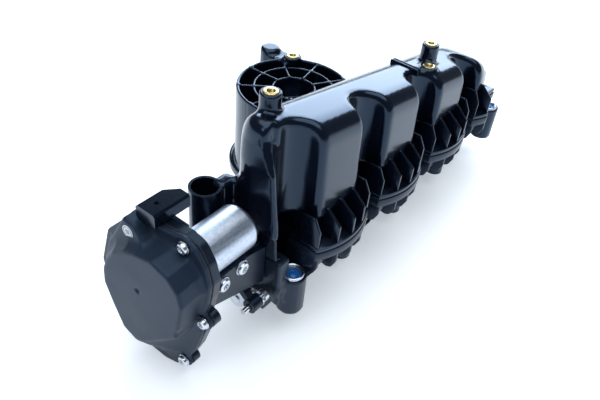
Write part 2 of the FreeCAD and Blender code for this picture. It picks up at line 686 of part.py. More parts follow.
def screw(seat, axis, length, head):
    """Pan-head screw along an axis whose head lies on the near side of its seat."""
    def along(offset):
        return tuple(a + offset * b for a, b in zip(seat, AXIS[axis]))
    shaft = rod(seat, "2 mm", "%g mm" % length, axis)
    top = rod(along(-3.4), "%g mm" % head, "3.4 mm", axis)
    socket = rod(along(-3.9), "%g mm" % (head / 2), "2.4 mm", axis)
    return cut(fuse(shaft, top), socket)


SCREW_HEAD_X = COVER_BACK - size("cover_flange")
BRACKET_FOOT = [(-10.0, 71.0), (-10.0, 79.0)]


def actuator_fixings():
    """Cover screws, bracket with its screws and rivets, sticker disc, clip and bushes."""
    node(together([screw((SCREW_HEAD_X, y, z), "X", 12, 4.6) for y, z in COVER_SCREWS]),
         "cover_screws")
    node(together([screw((x, BRACKET_FACE, z), "Y", 14, 5.4) for x, z in BRACKET_SCREWS]),
         "bracket_screws")
    edge = [(BACK, 66), (END_WALL - 1.5, 47.5), (END_WALL - 1.5, 84), (-215, 88), (BACK, 88)]
    corners = [Vector(x, BRACKET_FACE, z) for x, z in edge]
    plate = Part.Face(Part.makePolygon(corners + corners[:1])).extrude(
        Vector(0, BRACKET_THICK, 0))
    foot = box((BACK, BRACKET_FACE, 67), (BACK + 2.5, -4, 84))
    holes = [cylinder((x, BRACKET_FACE - 1, z), 2.1, 8, "Y") for x, z in BRACKET_SCREWS]
    holes += [cylinder((BACK - 1, y, z), 1.6, 6, "X") for y, z in BRACKET_FOOT]
    feature(joined([plate, foot]).cut(holes), "actuator_bracket")
    rivets = [rod((BACK, y, z), "1.6 mm", "4.5 mm", "X") for y, z in BRACKET_FOOT]
    node(together(rivets), "bracket_rivets")
    node(rod((LOBE_FRONT - 0.3, 29.5, 121.5), "5 mm", "0.3 mm", "X"), "blank_sticker")
    low, high = (BACK, 2.0, 24.0), (BACK + 19, 11.0, 33.0)
    hollow = box((BACK + 10, low[1] + 1.5, low[2] + 1.5), (high[0] + 1, high[1] - 1.5, high[2] - 1.5))
    feature(box(low, high).cut(hollow), "harness_clip")
    y, z = OUTPUT.x, OUTPUT.y
    node(tube((FLOOR, y, z), "Sizes.output_shaft_radius + Sizes.bush_wall",
              "Sizes.output_shaft_radius + Sizes.running_gap", "10 mm", "X"), "output_bush")
    node(rod((PIN_X, IDLER.x, IDLER.y), "Sizes.idler_pin_radius", "%g mm" % PIN_LENGTH, "X"),
         "idler_pin")


# ---- connector ----
PLUG_LEFT, PLUG_RIGHT, PLUG_TURN = -272.0, -241.0, -252.0
PLUG_FRONT, PLUG_SIDE, PLUG_BACK = 10.0, 19.0, 28.0
PLUG_LOW, PLUG_HIGH = 130.5, 142.0
PLUG_WALL = 1.8
PIN_ROWS = [(y, 136.2) for y in (13.0, 15.1, 17.2, 19.3, 21.4)]
PIN_START, CONTACT_LENGTH = PLUG_RIGHT - 22, 13.0


def level(points, low, high):
    """Plate of an outline given in X and Y between two heights."""
    loop = [Vector(x, y, low) for x, y in points]
    return Part.Face(Part.makePolygon(loop + loop[:1])).extrude(Vector(0, 0, high - low))


def connector():
    outline = [(PLUG_LEFT, PLUG_FRONT), (PLUG_RIGHT, PLUG_FRONT), (PLUG_RIGHT, PLUG_SIDE),
               (PLUG_TURN, PLUG_BACK), (PLUG_LEFT, PLUG_BACK)]
    shell = level(outline, PLUG_LOW, PLUG_HIGH)
    shell = shell.makeChamfer(1.5, [e for e in shell.Edges if e.BoundBox.XLength > 15])
    front, back = PLUG_FRONT + PLUG_WALL, PLUG_BACK - PLUG_WALL
    deep, mouth = PLUG_RIGHT - 18, PLUG_RIGHT + 1
    inside = [(deep, front), (mouth, front), (mouth, PLUG_SIDE - 2.5), (PLUG_TURN - 1, back),
              (deep, back)]
    room = level(inside, PLUG_LOW + PLUG_WALL, PLUG_HIGH - PLUG_WALL)
    vent = cylinder((-262, PLUG_SIDE, PLUG_HIGH - 1.5), 1.6, 3)
    case = case_block(SCREW_HEAD_X, BACK - SCREW_HEAD_X)
    lobe = slab_yz(LOBE_FRONT, LOBE, COVER_BACK - LOBE_FRONT, 4.0)
    shell = shell.cut([room, vent, case, lobe])
    shell = shell.cut([cylinder((PIN_START, y, z), 0.6, 8, "X") for y, z in PIN_ROWS])
    feature(shell, "connector_socket")
    pins = [rod((PIN_START, y, z), "0.6 mm", "%g mm" % CONTACT_LENGTH, "X") for y, z in PIN_ROWS]
    node(together(pins), "connector_pins")


# ---- motor ----
MOTOR_END = BACK + size("can_length")


def motor():
    y, z = MOTOR.x, MOTOR.y
    base = (BACK, y, z)
    can = rod(base, "Sizes.can_radius", "Sizes.can_length", "X")
    room = rod((BACK - 1, y, z), "Sizes.can_radius - Sizes.can_wall",
               "Sizes.can_length - Sizes.can_wall + 1", "X")
    rear_hole = rod((MOTOR_END - 5, y, z), "3.5 mm", "9 mm", "X")
    node(cut(cut(can, room), rear_hole), "motor_can")
    node(tube((MOTOR_END - 6.2, y, z), "3.5 mm", "Sizes.motor_shaft_radius + Sizes.running_gap",
              "6 mm", "X"), "rear_motor_bush")
    plate = rod((BACK, y, z), "Sizes.can_radius - Sizes.can_wall", "3 mm", "X")
    hole = rod((BACK - 1, y, z), "Sizes.motor_shaft_radius + Sizes.running_gap", "9 mm", "X")
    node(cut(plate, hole), "motor_end_plate")
    outer, inner = size("can_radius") - size("can_wall"), size("can_radius") - 5.2
    ring_x, ring_length = BACK + 12, 20
    ring = cylinder((ring_x, y, z), outer, ring_length, "X").cut(
        cylinder((ring_x, y, z), inner, ring_length, "X"))
    gap = box((ring_x - 1, y - 5, z - 30), (ring_x + ring_length + 1, y + 5, z + 30))
    feature(ring.cut(gap), "motor_magnets")
    brushes = [box((BACK + 4, y + side * 8.6 - 2.5, z - 1.5), (BACK + 9, y + side * 8.6 + 2.5, z + 1.5))
               for side in (-1, 1)]
    feature(Part.makeCompound(brushes), "motor_brushes")

    node(rod((PINION_X, y, z), "Sizes.motor_shaft_radius",
             "%g mm" % (MOTOR_END - 0.4 - PINION_X), "X"), "motor_shaft")
    stack = cylinder((ring_x + 1, y, z), inner - 0.6, ring_length - 2, "X")
    slots = []
    for i in range(5):
        slot = box((ring_x, 5.2, -1.4), (ring_x + ring_length, 16, 1.4))
        slot.rotate(Vector(0, 0, 0), AXIS["X"], 72 * i)
        slot.translate(Vector(0, y, z))
        slots.append(slot)
    core = stack.cut(slots).cut(cylinder((ring_x, y, z), size("motor_shaft_radius"), 40, "X"))
    feature(core, "motor_armature")
    node(tube((BACK + 3.6, y, z), "5.4 mm", "Sizes.motor_shaft_radius", "7 mm", "X"), "commutator")


# ---- gears ----
PRESSURE = math.radians(20)


def involute(angle):
    return math.tan(angle) - angle


def tooth(module, teeth, addendum, centre_angle):
    """Outline points of one tooth, from its root to its tip and back."""
    pitch = module * teeth / 2
    base = pitch * math.cos(PRESSURE)
    root, tip = pitch - 1.25 * module, pitch + addendum * module
    half = math.pi / (2 * teeth) - size("backlash") / (2 * pitch)
    start = max(base, root)
    steps = 4
    flank = []
    for i in range(steps + 1):
        radius = start + (tip - start) * i / steps
        spread = half + involute(PRESSURE) - involute(math.acos(min(1.0, base / radius)))
        flank.append((radius, spread))
    if root < base:
        flank.insert(0, (root, flank[0][1]))
    right = [(radius, centre_angle - spread) for radius, spread in flank]
    left = [(radius, centre_angle + spread) for radius, spread in reversed(flank)]
    return right + left


def gear(x, width, centre, module, teeth, addendum, phase, bore, span=None):
    """Spur gear along X, with teeth all round or only where span, in degrees, allows."""
    loop = []
    for i in range(int(teeth)):
        angle = phase + 360.0 * i / teeth
        if span is None or span[0] <= (angle - span[0]) % 360 + span[0] <= span[1]:
            loop.append(angle if span is None else (angle - span[0]) % 360 + span[0])
    loop.sort()
    points = []
    for angle in loop:
        points += tooth(module, teeth, addendum, math.radians(angle))
    if span is not None:
        points.append((HUB_RADIUS, math.radians(span[1] - 6)))
        points.append((HUB_RADIUS, math.radians(span[0] + 6)))
    corners = [Vector(x, centre.x + radius * math.cos(a), centre.y + radius * math.sin(a))
               for radius, a in points]
    body = Part.Face(Part.makePolygon(corners + corners[:1])).extrude(Vector(width, 0, 0))
    if span is not None:
        body = body.fuse(cylinder((x, centre.x, centre.y), HUB_RADIUS + 1, width, "X"))
    return body.cut(cylinder((x - 1, centre.x, centre.y), bore, width + 2, "X"))


HUB_RADIUS = 9.0
STROKE = 60.0
SPARE = 7.0


def gears():
    gap = size("running_gap")
    towards_motor, towards_output = size("motor_angle"), size("output_angle")
    module, fine = size("sector_module"), size("gear_module")
    pinion, wheel = size("pinion_teeth"), size("wheel_teeth")
    small, sector = size("small_teeth"), size("sector_teeth")
    feature(gear(PINION_X, PINION_WIDTH, MOTOR, fine, pinion, 1.0, towards_motor + 180,
                 size("motor_shaft_radius")), "motor_pinion")
    pin = size("idler_pin_radius") + gap
    big = gear(WHEEL_X, WHEEL_WIDTH, IDLER, fine, wheel, 0.7, towards_motor + 180 / wheel, pin)
    little = gear(SMALL_X, SMALL_WIDTH, IDLER, module, small, 1.0, towards_output, pin)
    windows = []
    for i in range(5):
        window = cylinder((WHEEL_X - 1, 18, 0), 5.0, WHEEL_WIDTH + 2, "X")
        window.rotate(Vector(0, 0, 0), AXIS["X"], 72 * i)
        window.translate(Vector(0, IDLER.x, IDLER.y))
        windows.append(window)
    feature(big.cut(windows).fuse(little).removeSplitter(), "idler_gear")
    engaged = towards_output + 180
    feature(gear(SECTOR_X, SECTOR_WIDTH, OUTPUT, module, sector, 0.78,
                 engaged + 180 / sector, size("output_shaft_radius"),
                 (engaged - STROKE - SPARE, engaged + SPARE)), "output_gear")


# ---- linkage and swirl flaps ----
ARM = Vector(size("arm_y"), size("arm_z"))
FLAP = Vector(FLAP_Y, FLAP_Z)
LINK_X = size("link_plane")
LEVER_X, CRANK_X = size("lever_plane"), size("crank_plane")
ARM_THICK = size("arm_thick")
BALLS = {"crank": OUTPUT + ARM, "lever": FLAP + ARM}


def arm(x, centre, bore, label):
    """Flat arm from a shaft to its ball stud."""
    end = centre + ARM
    hub = cylinder((x, centre.x, centre.y), 8.0, ARM_THICK, "X")
    eye = cylinder((x, end.x, end.y), 5.0, ARM_THICK, "X")
    side = Vector(-ARM.y, ARM.x).normalize()
    corners = [centre + side * 6, end + side * 4, end - side * 4, centre - side * 6]
    bar = slab_yz(x, [(c.x, c.y) for c in corners], ARM_THICK)
    shape = joined([hub, eye, bar])
    shape = shape.cut([cylinder((x - 1, centre.x, centre.y), bore, ARM_THICK + 2, "X"),
                       cylinder((x - 1, end.x, end.y), size("stud_radius"), ARM_THICK + 2, "X")])
    feature(shape, label)


def turned(edges, centre):
    """Solid turned about an axis along X through centre, from its outline above the axis."""
    solid = Part.Face(Part.Wire(edges)).revolve(Vector(0, 0, 0), AXIS["X"], 360)
    solid.translate(Vector(0, centre.x, centre.y))
    return solid


def lines(*corners):
    return [Part.LineSegment(a, b).toShape() for a, b in zip(corners, corners[1:])]


def stud(low, high, ball, centre, label):
    """Round stud along X with a ball in the plane of the link, at its end where it has no tip."""
    radius, round_radius = size("stud_radius"), size("ball_radius")
    neck_x = math.sqrt(round_radius ** 2 - radius ** 2)
    start = [Vector(low, 0), Vector(low, radius), Vector(ball - neck_x, radius)]
    if high > ball:
        end = [Vector(ball + neck_x, radius), Vector(high, radius), Vector(high, 0)]
    else:
        end = [Vector(ball + round_radius, 0)]
    edges = lines(*start) + [Part.Arc(start[-1], Vector(ball, round_radius), end[0]).toShape()]
    edges += lines(*end) + lines(end[-1], start[0])
    feature(turned(edges, centre), label)


def socket_room(centre):
    """Space inside a link end: a ball with the stud's way through it, turned about X."""
    ball, way, reach = size("ball_radius") + size("running_gap"), size("stud_radius") + 0.6, 6.0
    mouth = math.sqrt(ball ** 2 - way ** 2)
    first, last = Vector(LINK_X + mouth, way), Vector(LINK_X - mouth, way)
    edges = lines(first, Vector(LINK_X + reach, way), Vector(LINK_X + reach, 0),
                  Vector(LINK_X - reach, 0), Vector(LINK_X - reach, way), last)
    edges.append(Part.Arc(last, Vector(LINK_X, ball), first).toShape())
    return turned(edges, centre)


def linkage():
    arm(CRANK_X, OUTPUT, size("output_shaft_radius"), "crank_arm")
    stud(CRANK_X, LINK_X, LINK_X, BALLS["crank"], "crank_stud")
    node(rod((SECTOR_X - 1.5, OUTPUT.x, OUTPUT.y), "Sizes.output_shaft_radius",
             "%g mm" % (CRANK_X + ARM_THICK + 1 - SECTOR_X + 1.5), "X"), "output_shaft")
    arm(LEVER_X, FLAP, size("flap_shaft_radius"), "flap_lever")
    stud(LINK_X - 12, LEVER_X + ARM_THICK, LINK_X, BALLS["lever"], "lever_stud")

    bodies = []
    for centre in BALLS.values():
        bodies.append(cylinder((LINK_X - 5, centre.x, centre.y), size("socket_radius"), 10, "X"))
    first, last = BALLS["lever"], BALLS["crank"]
    along = last - first
    side = Vector(-along.y, along.x).normalize()
    corners = [first + side * 3, last + side * 3, last - side * 3, first - side * 3]
    bodies.append(slab_yz(LINK_X - 3, [(c.x, c.y) for c in corners], 6))
    shape = joined(bodies)
    for centre in BALLS.values():
        shape = shape.cut(socket_room(centre))
    feature(shape, "link_rod")
    clips = []
    for centre in BALLS.values():
        radius = size("socket_radius")
        hoop = cylinder((LINK_X + 5, centre.x, centre.y), radius, 1.0, "X").cut(
            cylinder((LINK_X + 4, centre.x, centre.y), radius - 2.2, 4, "X"))
        clips.append(hoop)
    feature(Part.makeCompound(clips), "link_clips")


def flaps():
    shaft_end = 170.0
    shaft = cylinder((LEVER_X - 1, FLAP_Y, FLAP_Z), size("flap_shaft_radius"),
                     shaft_end - LEVER_X + 1, "X")
    thick = size("flap_thick")
    slots = [box((x - PORT_HALF, FLAP_Y - thick / 2, FLAP_Z - 5),
                 (x + PORT_HALF, FLAP_Y + thick / 2, FLAP_Z + 5)) for x in CENTRES]
    screw_spots = [(x + side * 10, x) for x in CENTRES for side in (-1, 1)]
    holes = [cylinder((spot, FLAP_Y - 6, FLAP_Z), 1.2, 12, "Y") for spot, _ in screw_spots]
    feature(shaft.cut(slots).cut(holes), "flap_shaft")
    plates = []
    clearance = 0.6
    radius = PORT_SIDE - clearance
    for x in CENTRES:
        straight = PORT_HALF - PORT_SIDE
        ends = [cylinder((x + side * straight, FLAP_Y - thick / 2, FLAP_Z), radius - 1.5, thick, "Y")
                for side in (-1, 1)]
        middle = box((x - straight, FLAP_Y - thick / 2, FLAP_Z - radius + 1.5),
                     (x + straight, FLAP_Y + thick / 2, FLAP_Z + radius - 1.5))
        plate = joined([middle] + ends)
        plates.append(plate.cut([cylinder((x + side * 10, FLAP_Y - 6, FLAP_Z), 1.2, 12, "Y")
                                 for side in (-1, 1)]))
    feature(Part.makeCompound(plates), "swirl_flaps")
    screws = []
    for spot, _ in screw_spots:
        screws.append(cylinder((spot, FLAP_Y - 4.2, FLAP_Z), 1.2, 8.2, "Y").fuse(
            cylinder((spot, FLAP_Y + 4.0, FLAP_Z), 2.2, 1.4, "Y")))
    feature(Part.makeCompound(screws), "flap_screws")


def circuit_board():
    """Control board in the cover's upper lobe, on edge behind its front wall."""
    outline = rounded([(46, 99), (33, 123), (23, 123), (22, 115), (38, 104)], 1.5)
    padded("control_board", "YZ_Plane", BOARD_X, [outline], "1.6 mm")


head_flange()
port_seals()
lower_shell()
upper_shell()
inlet_housing()
small_parts_of_shells()
gearbox_housing()
gearbox_cover()
gasket()
actuator_fixings()
connector()
motor()
gears()
linkage()
flaps()
circuit_board()
doc.recompute()

failed = [o.Label for o in doc.Objects if {"Invalid", "Error"} & set(o.State)]
assert not failed, "failed features: %s" % failed
os.makedirs("parts", exist_ok=True)
for obj in nodes:
    assert not obj.Shape.isNull() and obj.Shape.isValid(), "bad shape: " + obj.Label
    obj.Shape.exportStep("parts/%s.step" % obj.Label)
print(len(nodes), "sub-parts written")
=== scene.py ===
import json
import math

import bmesh
import bpy
import numpy as np
from mathutils import Matrix, Vector


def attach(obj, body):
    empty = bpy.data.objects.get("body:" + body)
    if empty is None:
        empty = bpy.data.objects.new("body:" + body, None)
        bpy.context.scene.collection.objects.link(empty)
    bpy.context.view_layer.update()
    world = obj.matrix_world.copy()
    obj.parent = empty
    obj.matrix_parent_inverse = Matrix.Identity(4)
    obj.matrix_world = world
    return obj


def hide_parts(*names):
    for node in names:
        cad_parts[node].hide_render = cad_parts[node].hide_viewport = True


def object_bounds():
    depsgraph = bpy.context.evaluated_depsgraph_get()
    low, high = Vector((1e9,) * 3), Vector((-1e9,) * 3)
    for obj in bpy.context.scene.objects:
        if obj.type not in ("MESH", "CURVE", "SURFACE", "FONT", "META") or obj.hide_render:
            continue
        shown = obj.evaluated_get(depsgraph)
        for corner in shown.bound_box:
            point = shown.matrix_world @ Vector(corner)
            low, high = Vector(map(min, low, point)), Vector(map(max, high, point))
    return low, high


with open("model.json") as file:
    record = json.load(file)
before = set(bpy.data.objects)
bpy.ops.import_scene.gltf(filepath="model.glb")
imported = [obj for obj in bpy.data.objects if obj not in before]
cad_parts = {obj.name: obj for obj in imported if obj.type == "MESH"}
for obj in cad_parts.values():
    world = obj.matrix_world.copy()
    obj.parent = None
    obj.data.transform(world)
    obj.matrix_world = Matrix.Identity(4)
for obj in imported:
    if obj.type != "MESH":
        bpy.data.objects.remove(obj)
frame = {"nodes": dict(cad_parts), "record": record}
cad_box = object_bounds()

# Intake manifold with swirl flaps and a geared actuator. X runs along the cylinders, away from
# the actuator, Z is the bolt direction. Shapes are worked out in millimetres and stored in metres.

MM = 0.001
MANIFOLD = "manifold"


# ---------------------------------------------------------------- driving sizes

PITCH = 88.0
CENTRES = [PITCH * (i - 1.5) for i in range(4)]
NICHES = [PITCH * (i - 2) for i in range(4)]
SEAM = 72.0
WALL = 3.5
TOP_MIDDLE, TOP_FALL = 151.0, 0.1705
HUMP_FRONT, HUMP_HALF = -40.0, 27.0
PLENUM_FLOOR, PLENUM_BACK = 100.0, 26.0
PLENUM_RIGHT = 158.0
NICHE_Y, NICHE_RADIUS = -31.0, 17.0
BAND_HALF, BAND_END, BAND_BULGE, BAND_DEPTH, LIP_DEPTH = 36.0, -48.0, 10.4, 8.0, 4.0
RIB_THICK = 2.6
RIB_OFFSETS = [16.5 * i for i in (-2, -1, 0, 1, 2)]
RIB_FOOT = 45.0
FLANGE = 22.0
END_WALL = -196.0
BRACKET_SCREWS = [(-242.8, 79.9), (-223.6, 82.3)]
BRACKET_FACE, ARM_FRONT, ARM_BACK = -22.0, -18.0, -9.0
LUG_X = [-PITCH, 0.0, PITCH]
FRONT_LUG_Y, REAR_LUG_Y = -24.0, 38.0
END_BOSSES = [(-176.0, -34.0), (176.0, -34.0)]
END_FOOT, END_TOP, END_RADIUS = 10.0, 48.5, 11.5
SLEEVE_TOP, SLEEVE_RADIUS, SLEEVE_BORE = 49.5, 9.5, 6.4
BACK, COVER_BACK, HEAD_X, FRONT = -257.0, -264.0, -267.5, -288.0
MOTOR, CAN_RADIUS, CAN_LENGTH = (-8.44, 106.65), 17.7, 47.0
IDLER = (14.6, 82.2)
COVER_SCREWS = [(-11.4, 126.5), (-27.8, 65.5), (-6.1, 3.2)]
CASE_OUTLINE = [(-10, 134), (-22, 131), (-30, 119), (-34, 105), (-32, 90), (-28, 74), (-25, 48),
                (-18, 26), (-8, 4), (2, -10), (16, -15), (32, -15), (54, -2), (79, 26), (82, 52),
                (70, 90), (50, 112), (36, 128), (8, 131)]
MAIN_BASE = [(-4, 122), (-17, 120), (-26, 111), (-29, 98), (-25, 80), (-20, 58), (-14, 30),
             (-5, 6), (8, -8), (30, -9), (52, 3), (75, 28), (79, 52), (67, 90), (46, 110),
             (30, 120), (10, 122)]
MAIN_FACE = [(-2, 122), (-17, 118), (-26, 109), (-29, 97), (-26, 80), (-22, 61), (10, 31),
             (17, 25), (24, 21), (37, 26), (46, 46), (52.5, 64), (51, 78), (46.5, 89), (38, 103),
             (26, 112), (15, 117.5)]
LOBE = [(53, 86), (53, 98), (34.5, 131), (24, 130), (16, 122), (14, 104)]
LOBE_FRONT = FRONT + 9
STICKER = (29.5, 121.5)
INSERT_BOSS = 7.9
TOP_BOSSES = [(-170.0, 4.0, 14.0), (40.0, -9.0, 18.0), (26.0, -18.0, 2.0)]
FAR_TRIM = [(112, -57.5), (121, -52.8), (140, -38.5), (172, -38.5), (172, -75), (112, -75)]
FAR_CORNER = 175.0
NOSE_X = -184.0
INLET, INLET_CIRCLE, INLET_ANGLES = (-81.0, 60.0), 38.0, (90, 210, 330)
DRUM, DRUM_RADIUS, DRUM_BASE, DRUM_WEB, DRUM_RIM = (-79.5, 52.0), 49.0, 56.0, 120.0, 141.0
DRUM_BOSS, DRUM_BOSS_TOP = (-45.0, 82.0), 145.0
CLIP = (6.5, 28.5)


def top_height(x):
    return TOP_MIDDLE - TOP_FALL * x


def band_front(offset):
    part = offset / BAND_HALF
    return BAND_END - BAND_BULGE * (1 - part * part)


def lip_front(centre, offset):
    """Front of a weld lip, drawn back towards the far end boss."""
    trim = np.interp(centre + offset, [111.9, 112, 121, 140], [-75, -57.5, -52.8, -38.5])
    return max(band_front(offset), float(trim))


# ---------------------------------------------------------------- materials

def shader(name):
    """New material with its Principled shader and node tree."""
    material = bpy.data.materials.new(name)
    material.use_nodes = True
    tree = material.node_tree
    return material, tree, tree.nodes["Principled BSDF"]


def node(tree, kind, inputs=None, **settings):
    made = tree.nodes.new(kind)
    for key, value in settings.items():
        setattr(made, key, value)
    for key, value in (inputs or {}).items():
        made.inputs[key].default_value = value
    return made


def noise(tree, scale, detail=4.0, roughness=0.55, stretch=None):
    """Noise on object coordinates, in metres, optionally stretched along an axis."""
    coordinates = node(tree, "ShaderNodeTexCoord").outputs["Object"]
    if stretch:
        mapping = node(tree, "ShaderNodeMapping")
        mapping.inputs["Scale"].default_value = stretch
        tree.links.new(coordinates, mapping.inputs["Vector"])
        coordinates = mapping.outputs["Vector"]
    made = node(tree, "ShaderNodeTexNoise",
                {"Scale": scale, "Detail": detail, "Roughness": roughness})
    tree.links.new(coordinates, made.inputs["Vector"])
    return made.outputs["Fac"]


def ramp(tree, source, low, high, first, second):
    """Maps a value between two limits onto a pair of numbers."""
    made = node(tree, "ShaderNodeMapRange",
                {"From Min": low, "From Max": high, "To Min": first, "To Max": second})
    tree.links.new(source, made.inputs["Value"])
    return made.outputs["Result"]


def blend_colours(tree, factor, first, second):
    made = node(tree, "ShaderNodeMix", data_type="RGBA")
    made.inputs["A"].default_value = (*first, 1)
    made.inputs["B"].default_value = (*second, 1)
    tree.links.new(factor, made.inputs["Factor"])
    return made.outputs["Result"]


def relief(tree, principled, height, strength, distance, edge=0.0):
    """Bump from a height, over softened edges where edge is a radius in metres."""
    bump = node(tree, "ShaderNodeBump", {"Strength": strength, "Distance": distance})
    tree.links.new(height, bump.inputs["Height"])
    if edge:
        bevel = node(tree, "ShaderNodeBevel", {"Radius": edge}, samples=4)
        tree.links.new(bevel.outputs["Normal"], bump.inputs["Normal"])
    tree.links.new(bump.outputs["Normal"], principled.inputs["Normal"])


def moulded(name, dark, light, rough, grain=900.0, bump=0.12, tint=(0.62, 0.78, 1.0), edge=0.0,
            specular=0.5):
    """Moulded plastic: glass-fibre grain, faint flow marks, and rubbed spots of other gloss."""
    material, tree, principled = shader(name)
    grain_value = noise(tree, grain, 3.0)
    flow = noise(tree, 28.0, 5.0, 0.6, (0.35, 1.0, 1.4))
    colour = blend_colours(tree, flow, dark, light)
    tree.links.new(colour, principled.inputs["Base Color"])
    tree.links.new(ramp(tree, flow, 0.25, 0.75, rough[0], rough[1]), principled.inputs["Roughness"])
    principled.inputs["Specular Tint"].default_value = (*tint, 1)
    principled.inputs["Specular IOR Level"].default_value = specular
    relief(tree, principled, grain_value, bump, 0.00012, edge)
    return material


def metal(name, dark, light, rough, scale=500.0, stretch=None, bump=0.15, edge=0.0003):
    """Bare or plated metal: tool marks or spangle, and uneven gloss."""
    material, tree, principled = shader(name)
    marks = noise(tree, scale, 4.0, 0.6, stretch)
    cloud = noise(tree, 90.0, 3.0)
    tree.links.new(blend_colours(tree, cloud, dark, light), principled.inputs["Base Color"])
    tree.links.new(ramp(tree, marks, 0.3, 0.7, rough[0], rough[1]), principled.inputs["Roughness"])
    principled.inputs["Metallic"].default_value = 1.0
    relief(tree, principled, marks, bump, 0.00008, edge)
    return material


def galvanised(name):
    """Zinc-coated deep-drawn can: fine spangle, drawing lines along it, bluish haze."""
    material, tree, principled = shader(name)
    cells = node(tree, "ShaderNodeTexVoronoi", {"Scale": 620.0})
    coordinates = node(tree, "ShaderNodeTexCoord").outputs["Object"]
    tree.links.new(coordinates, cells.inputs["Vector"])
    drawn = noise(tree, 700.0, 3.0, 0.6, (0.06, 1.0, 1.0))
    colour = blend_colours(tree, cells.outputs["Color"], (0.50, 0.57, 0.68), (0.66, 0.73, 0.84))
    tree.links.new(colour, principled.inputs["Base Color"])
    tree.links.new(ramp(tree, drawn, 0.3, 0.7, 0.30, 0.46), principled.inputs["Roughness"])
    principled.inputs["Metallic"].default_value = 1.0
    relief(tree, principled, drawn, 0.25, 0.00006)
    return material


MATERIALS = {
    "gloss_black": moulded("gloss_black", (0.0016, 0.0028, 0.0075), (0.003, 0.005, 0.012),
                           (0.14, 0.22), grain=1500.0, bump=0.05, specular=0.6,
                           tint=(0.45, 0.68, 1.0)),
    "satin_black": moulded("satin_black", (0.003, 0.005, 0.011), (0.006, 0.010, 0.021),
                           (0.27, 0.38), grain=1100.0, bump=0.14, edge=0.0006,
                           tint=(0.45, 0.68, 1.0)),
    "cover_grey": moulded("cover_grey", (0.009, 0.015, 0.029), (0.013, 0.021, 0.040),
                          (0.46, 0.56), grain=1700.0, bump=0.30, edge=0.0004, specular=0.42,
                          tint=(0.45, 0.68, 1.0)),
    "seal_rubber": moulded("seal_rubber", (0.010, 0.010, 0.011), (0.016, 0.016, 0.018),
                           (0.62, 0.75), grain=800.0, bump=0.2, edge=0.0004),
    "insert_brass": metal("insert_brass", (0.62, 0.47, 0.20), (0.80, 0.64, 0.32), (0.22, 0.36),
                          scale=900.0),
    "zinc_steel": metal("zinc_steel", (0.52, 0.56, 0.62), (0.74, 0.78, 0.84), (0.20, 0.34),
                        scale=700.0),
    "blue_plug": moulded("blue_plug", (0.010, 0.10, 0.36), (0.02, 0.17, 0.52), (0.22, 0.34),
                         grain=900.0, tint=(0.8, 0.9, 1.0), edge=0.0004),
    "sintered_bronze": metal("sintered_bronze", (0.42, 0.29, 0.15), (0.55, 0.39, 0.22),
                             (0.36, 0.52), scale=1500.0, bump=0.4),
    "white_sticker": moulded("white_sticker", (0.70, 0.74, 0.80), (0.82, 0.86, 0.92),
                             (0.40, 0.55), tint=(1.0, 1.0, 1.0)),
    "polished_steel": metal("polished_steel", (0.58, 0.60, 0.64), (0.78, 0.80, 0.84),
                            (0.14, 0.26), scale=900.0, stretch=(0.1, 1.0, 1.0)),
    "galvanised_can": galvanised("galvanised_can"),
    "ferrite": moulded("ferrite", (0.03, 0.03, 0.032), (0.05, 0.05, 0.054), (0.55, 0.7),
                       grain=1400.0, bump=0.3, tint=(1.0, 1.0, 1.0)),
    "armature_steel": metal("armature_steel", (0.24, 0.22, 0.21), (0.36, 0.33, 0.31),
                            (0.34, 0.5), scale=1800.0, stretch=(3.0, 0.4, 0.4), bump=0.4),
    "gear_nylon": moulded("gear_nylon", (0.55, 0.53, 0.47), (0.66, 0.64, 0.57), (0.38, 0.5),
                          tint=(1.0, 1.0, 1.0), edge=0.0002),
    "board_green": moulded("board_green", (0.01, 0.10, 0.05), (0.02, 0.16, 0.08), (0.3, 0.42),
                           tint=(1.0, 1.0, 1.0)),
}


# ---------------------------------------------------------------- mesh helpers

def piece(name, mesh, slot, body=MANIFOLD, replaces=(), sharp=30.0):
    """Links a finished mesh as a piece that rides on a body."""
    obj = bpy.data.objects.new(name, mesh)
    bpy.context.scene.collection.objects.link(obj)
    mesh.materials.append(MATERIALS[slot])
    mesh.polygons.foreach_set("use_smooth", [True] * len(mesh.polygons))
    if sharp:
        mesh.set_sharp_from_angle(angle=math.radians(sharp))
    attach(obj, body)
    if replaces:
        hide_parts(*replaces)
    return obj


def finished(bm, name):
    """Closes a bmesh made in millimetres into a mesh in metres, with normals outwards."""
    bmesh.ops.recalc_face_normals(bm, faces=bm.faces)
    bmesh.ops.scale(bm, vec=(MM, MM, MM), verts=bm.verts)
    mesh = bpy.data.meshes.new(name)
    bm.to_mesh(mesh)
    bm.free()
    return mesh


def place(axis, along, a, b):
    """Point from a coordinate along an axis and the two across it, in cyclic order."""
    if axis == "X":
        return Vector((along, a, b))
    if axis == "Y":
        return Vector((b, along, a))
    return Vector((a, b, along))


def add_prism(bm, axis, outline, low, high, bevel=0.5, segments=2):
    """Adds an extruded outline with rounded edges to a bmesh."""
    bottom = [bm.verts.new(place(axis, low, a, b)) for a, b in outline]
    top = [bm.verts.new(place(axis, high, a, b)) for a, b in outline]
    faces = [bm.faces.new(bottom[::-1]), bm.faces.new(top)]
    for i in range(len(outline)):
        j = (i + 1) % len(outline)
        faces.append(bm.faces.new((bottom[i], bottom[j], top[j], top[i])))
    bmesh.ops.recalc_face_normals(bm, faces=faces)
    edges = {e for f in faces for e in f.edges}
    sharp = [e for e in edges if e.calc_face_angle(0.0) > math.radians(22)]
    if bevel:
        bmesh.ops.bevel(bm, geom=sharp, offset=bevel, segments=segments, profile=0.5,
                        affect="EDGES", clamp_overlap=True)


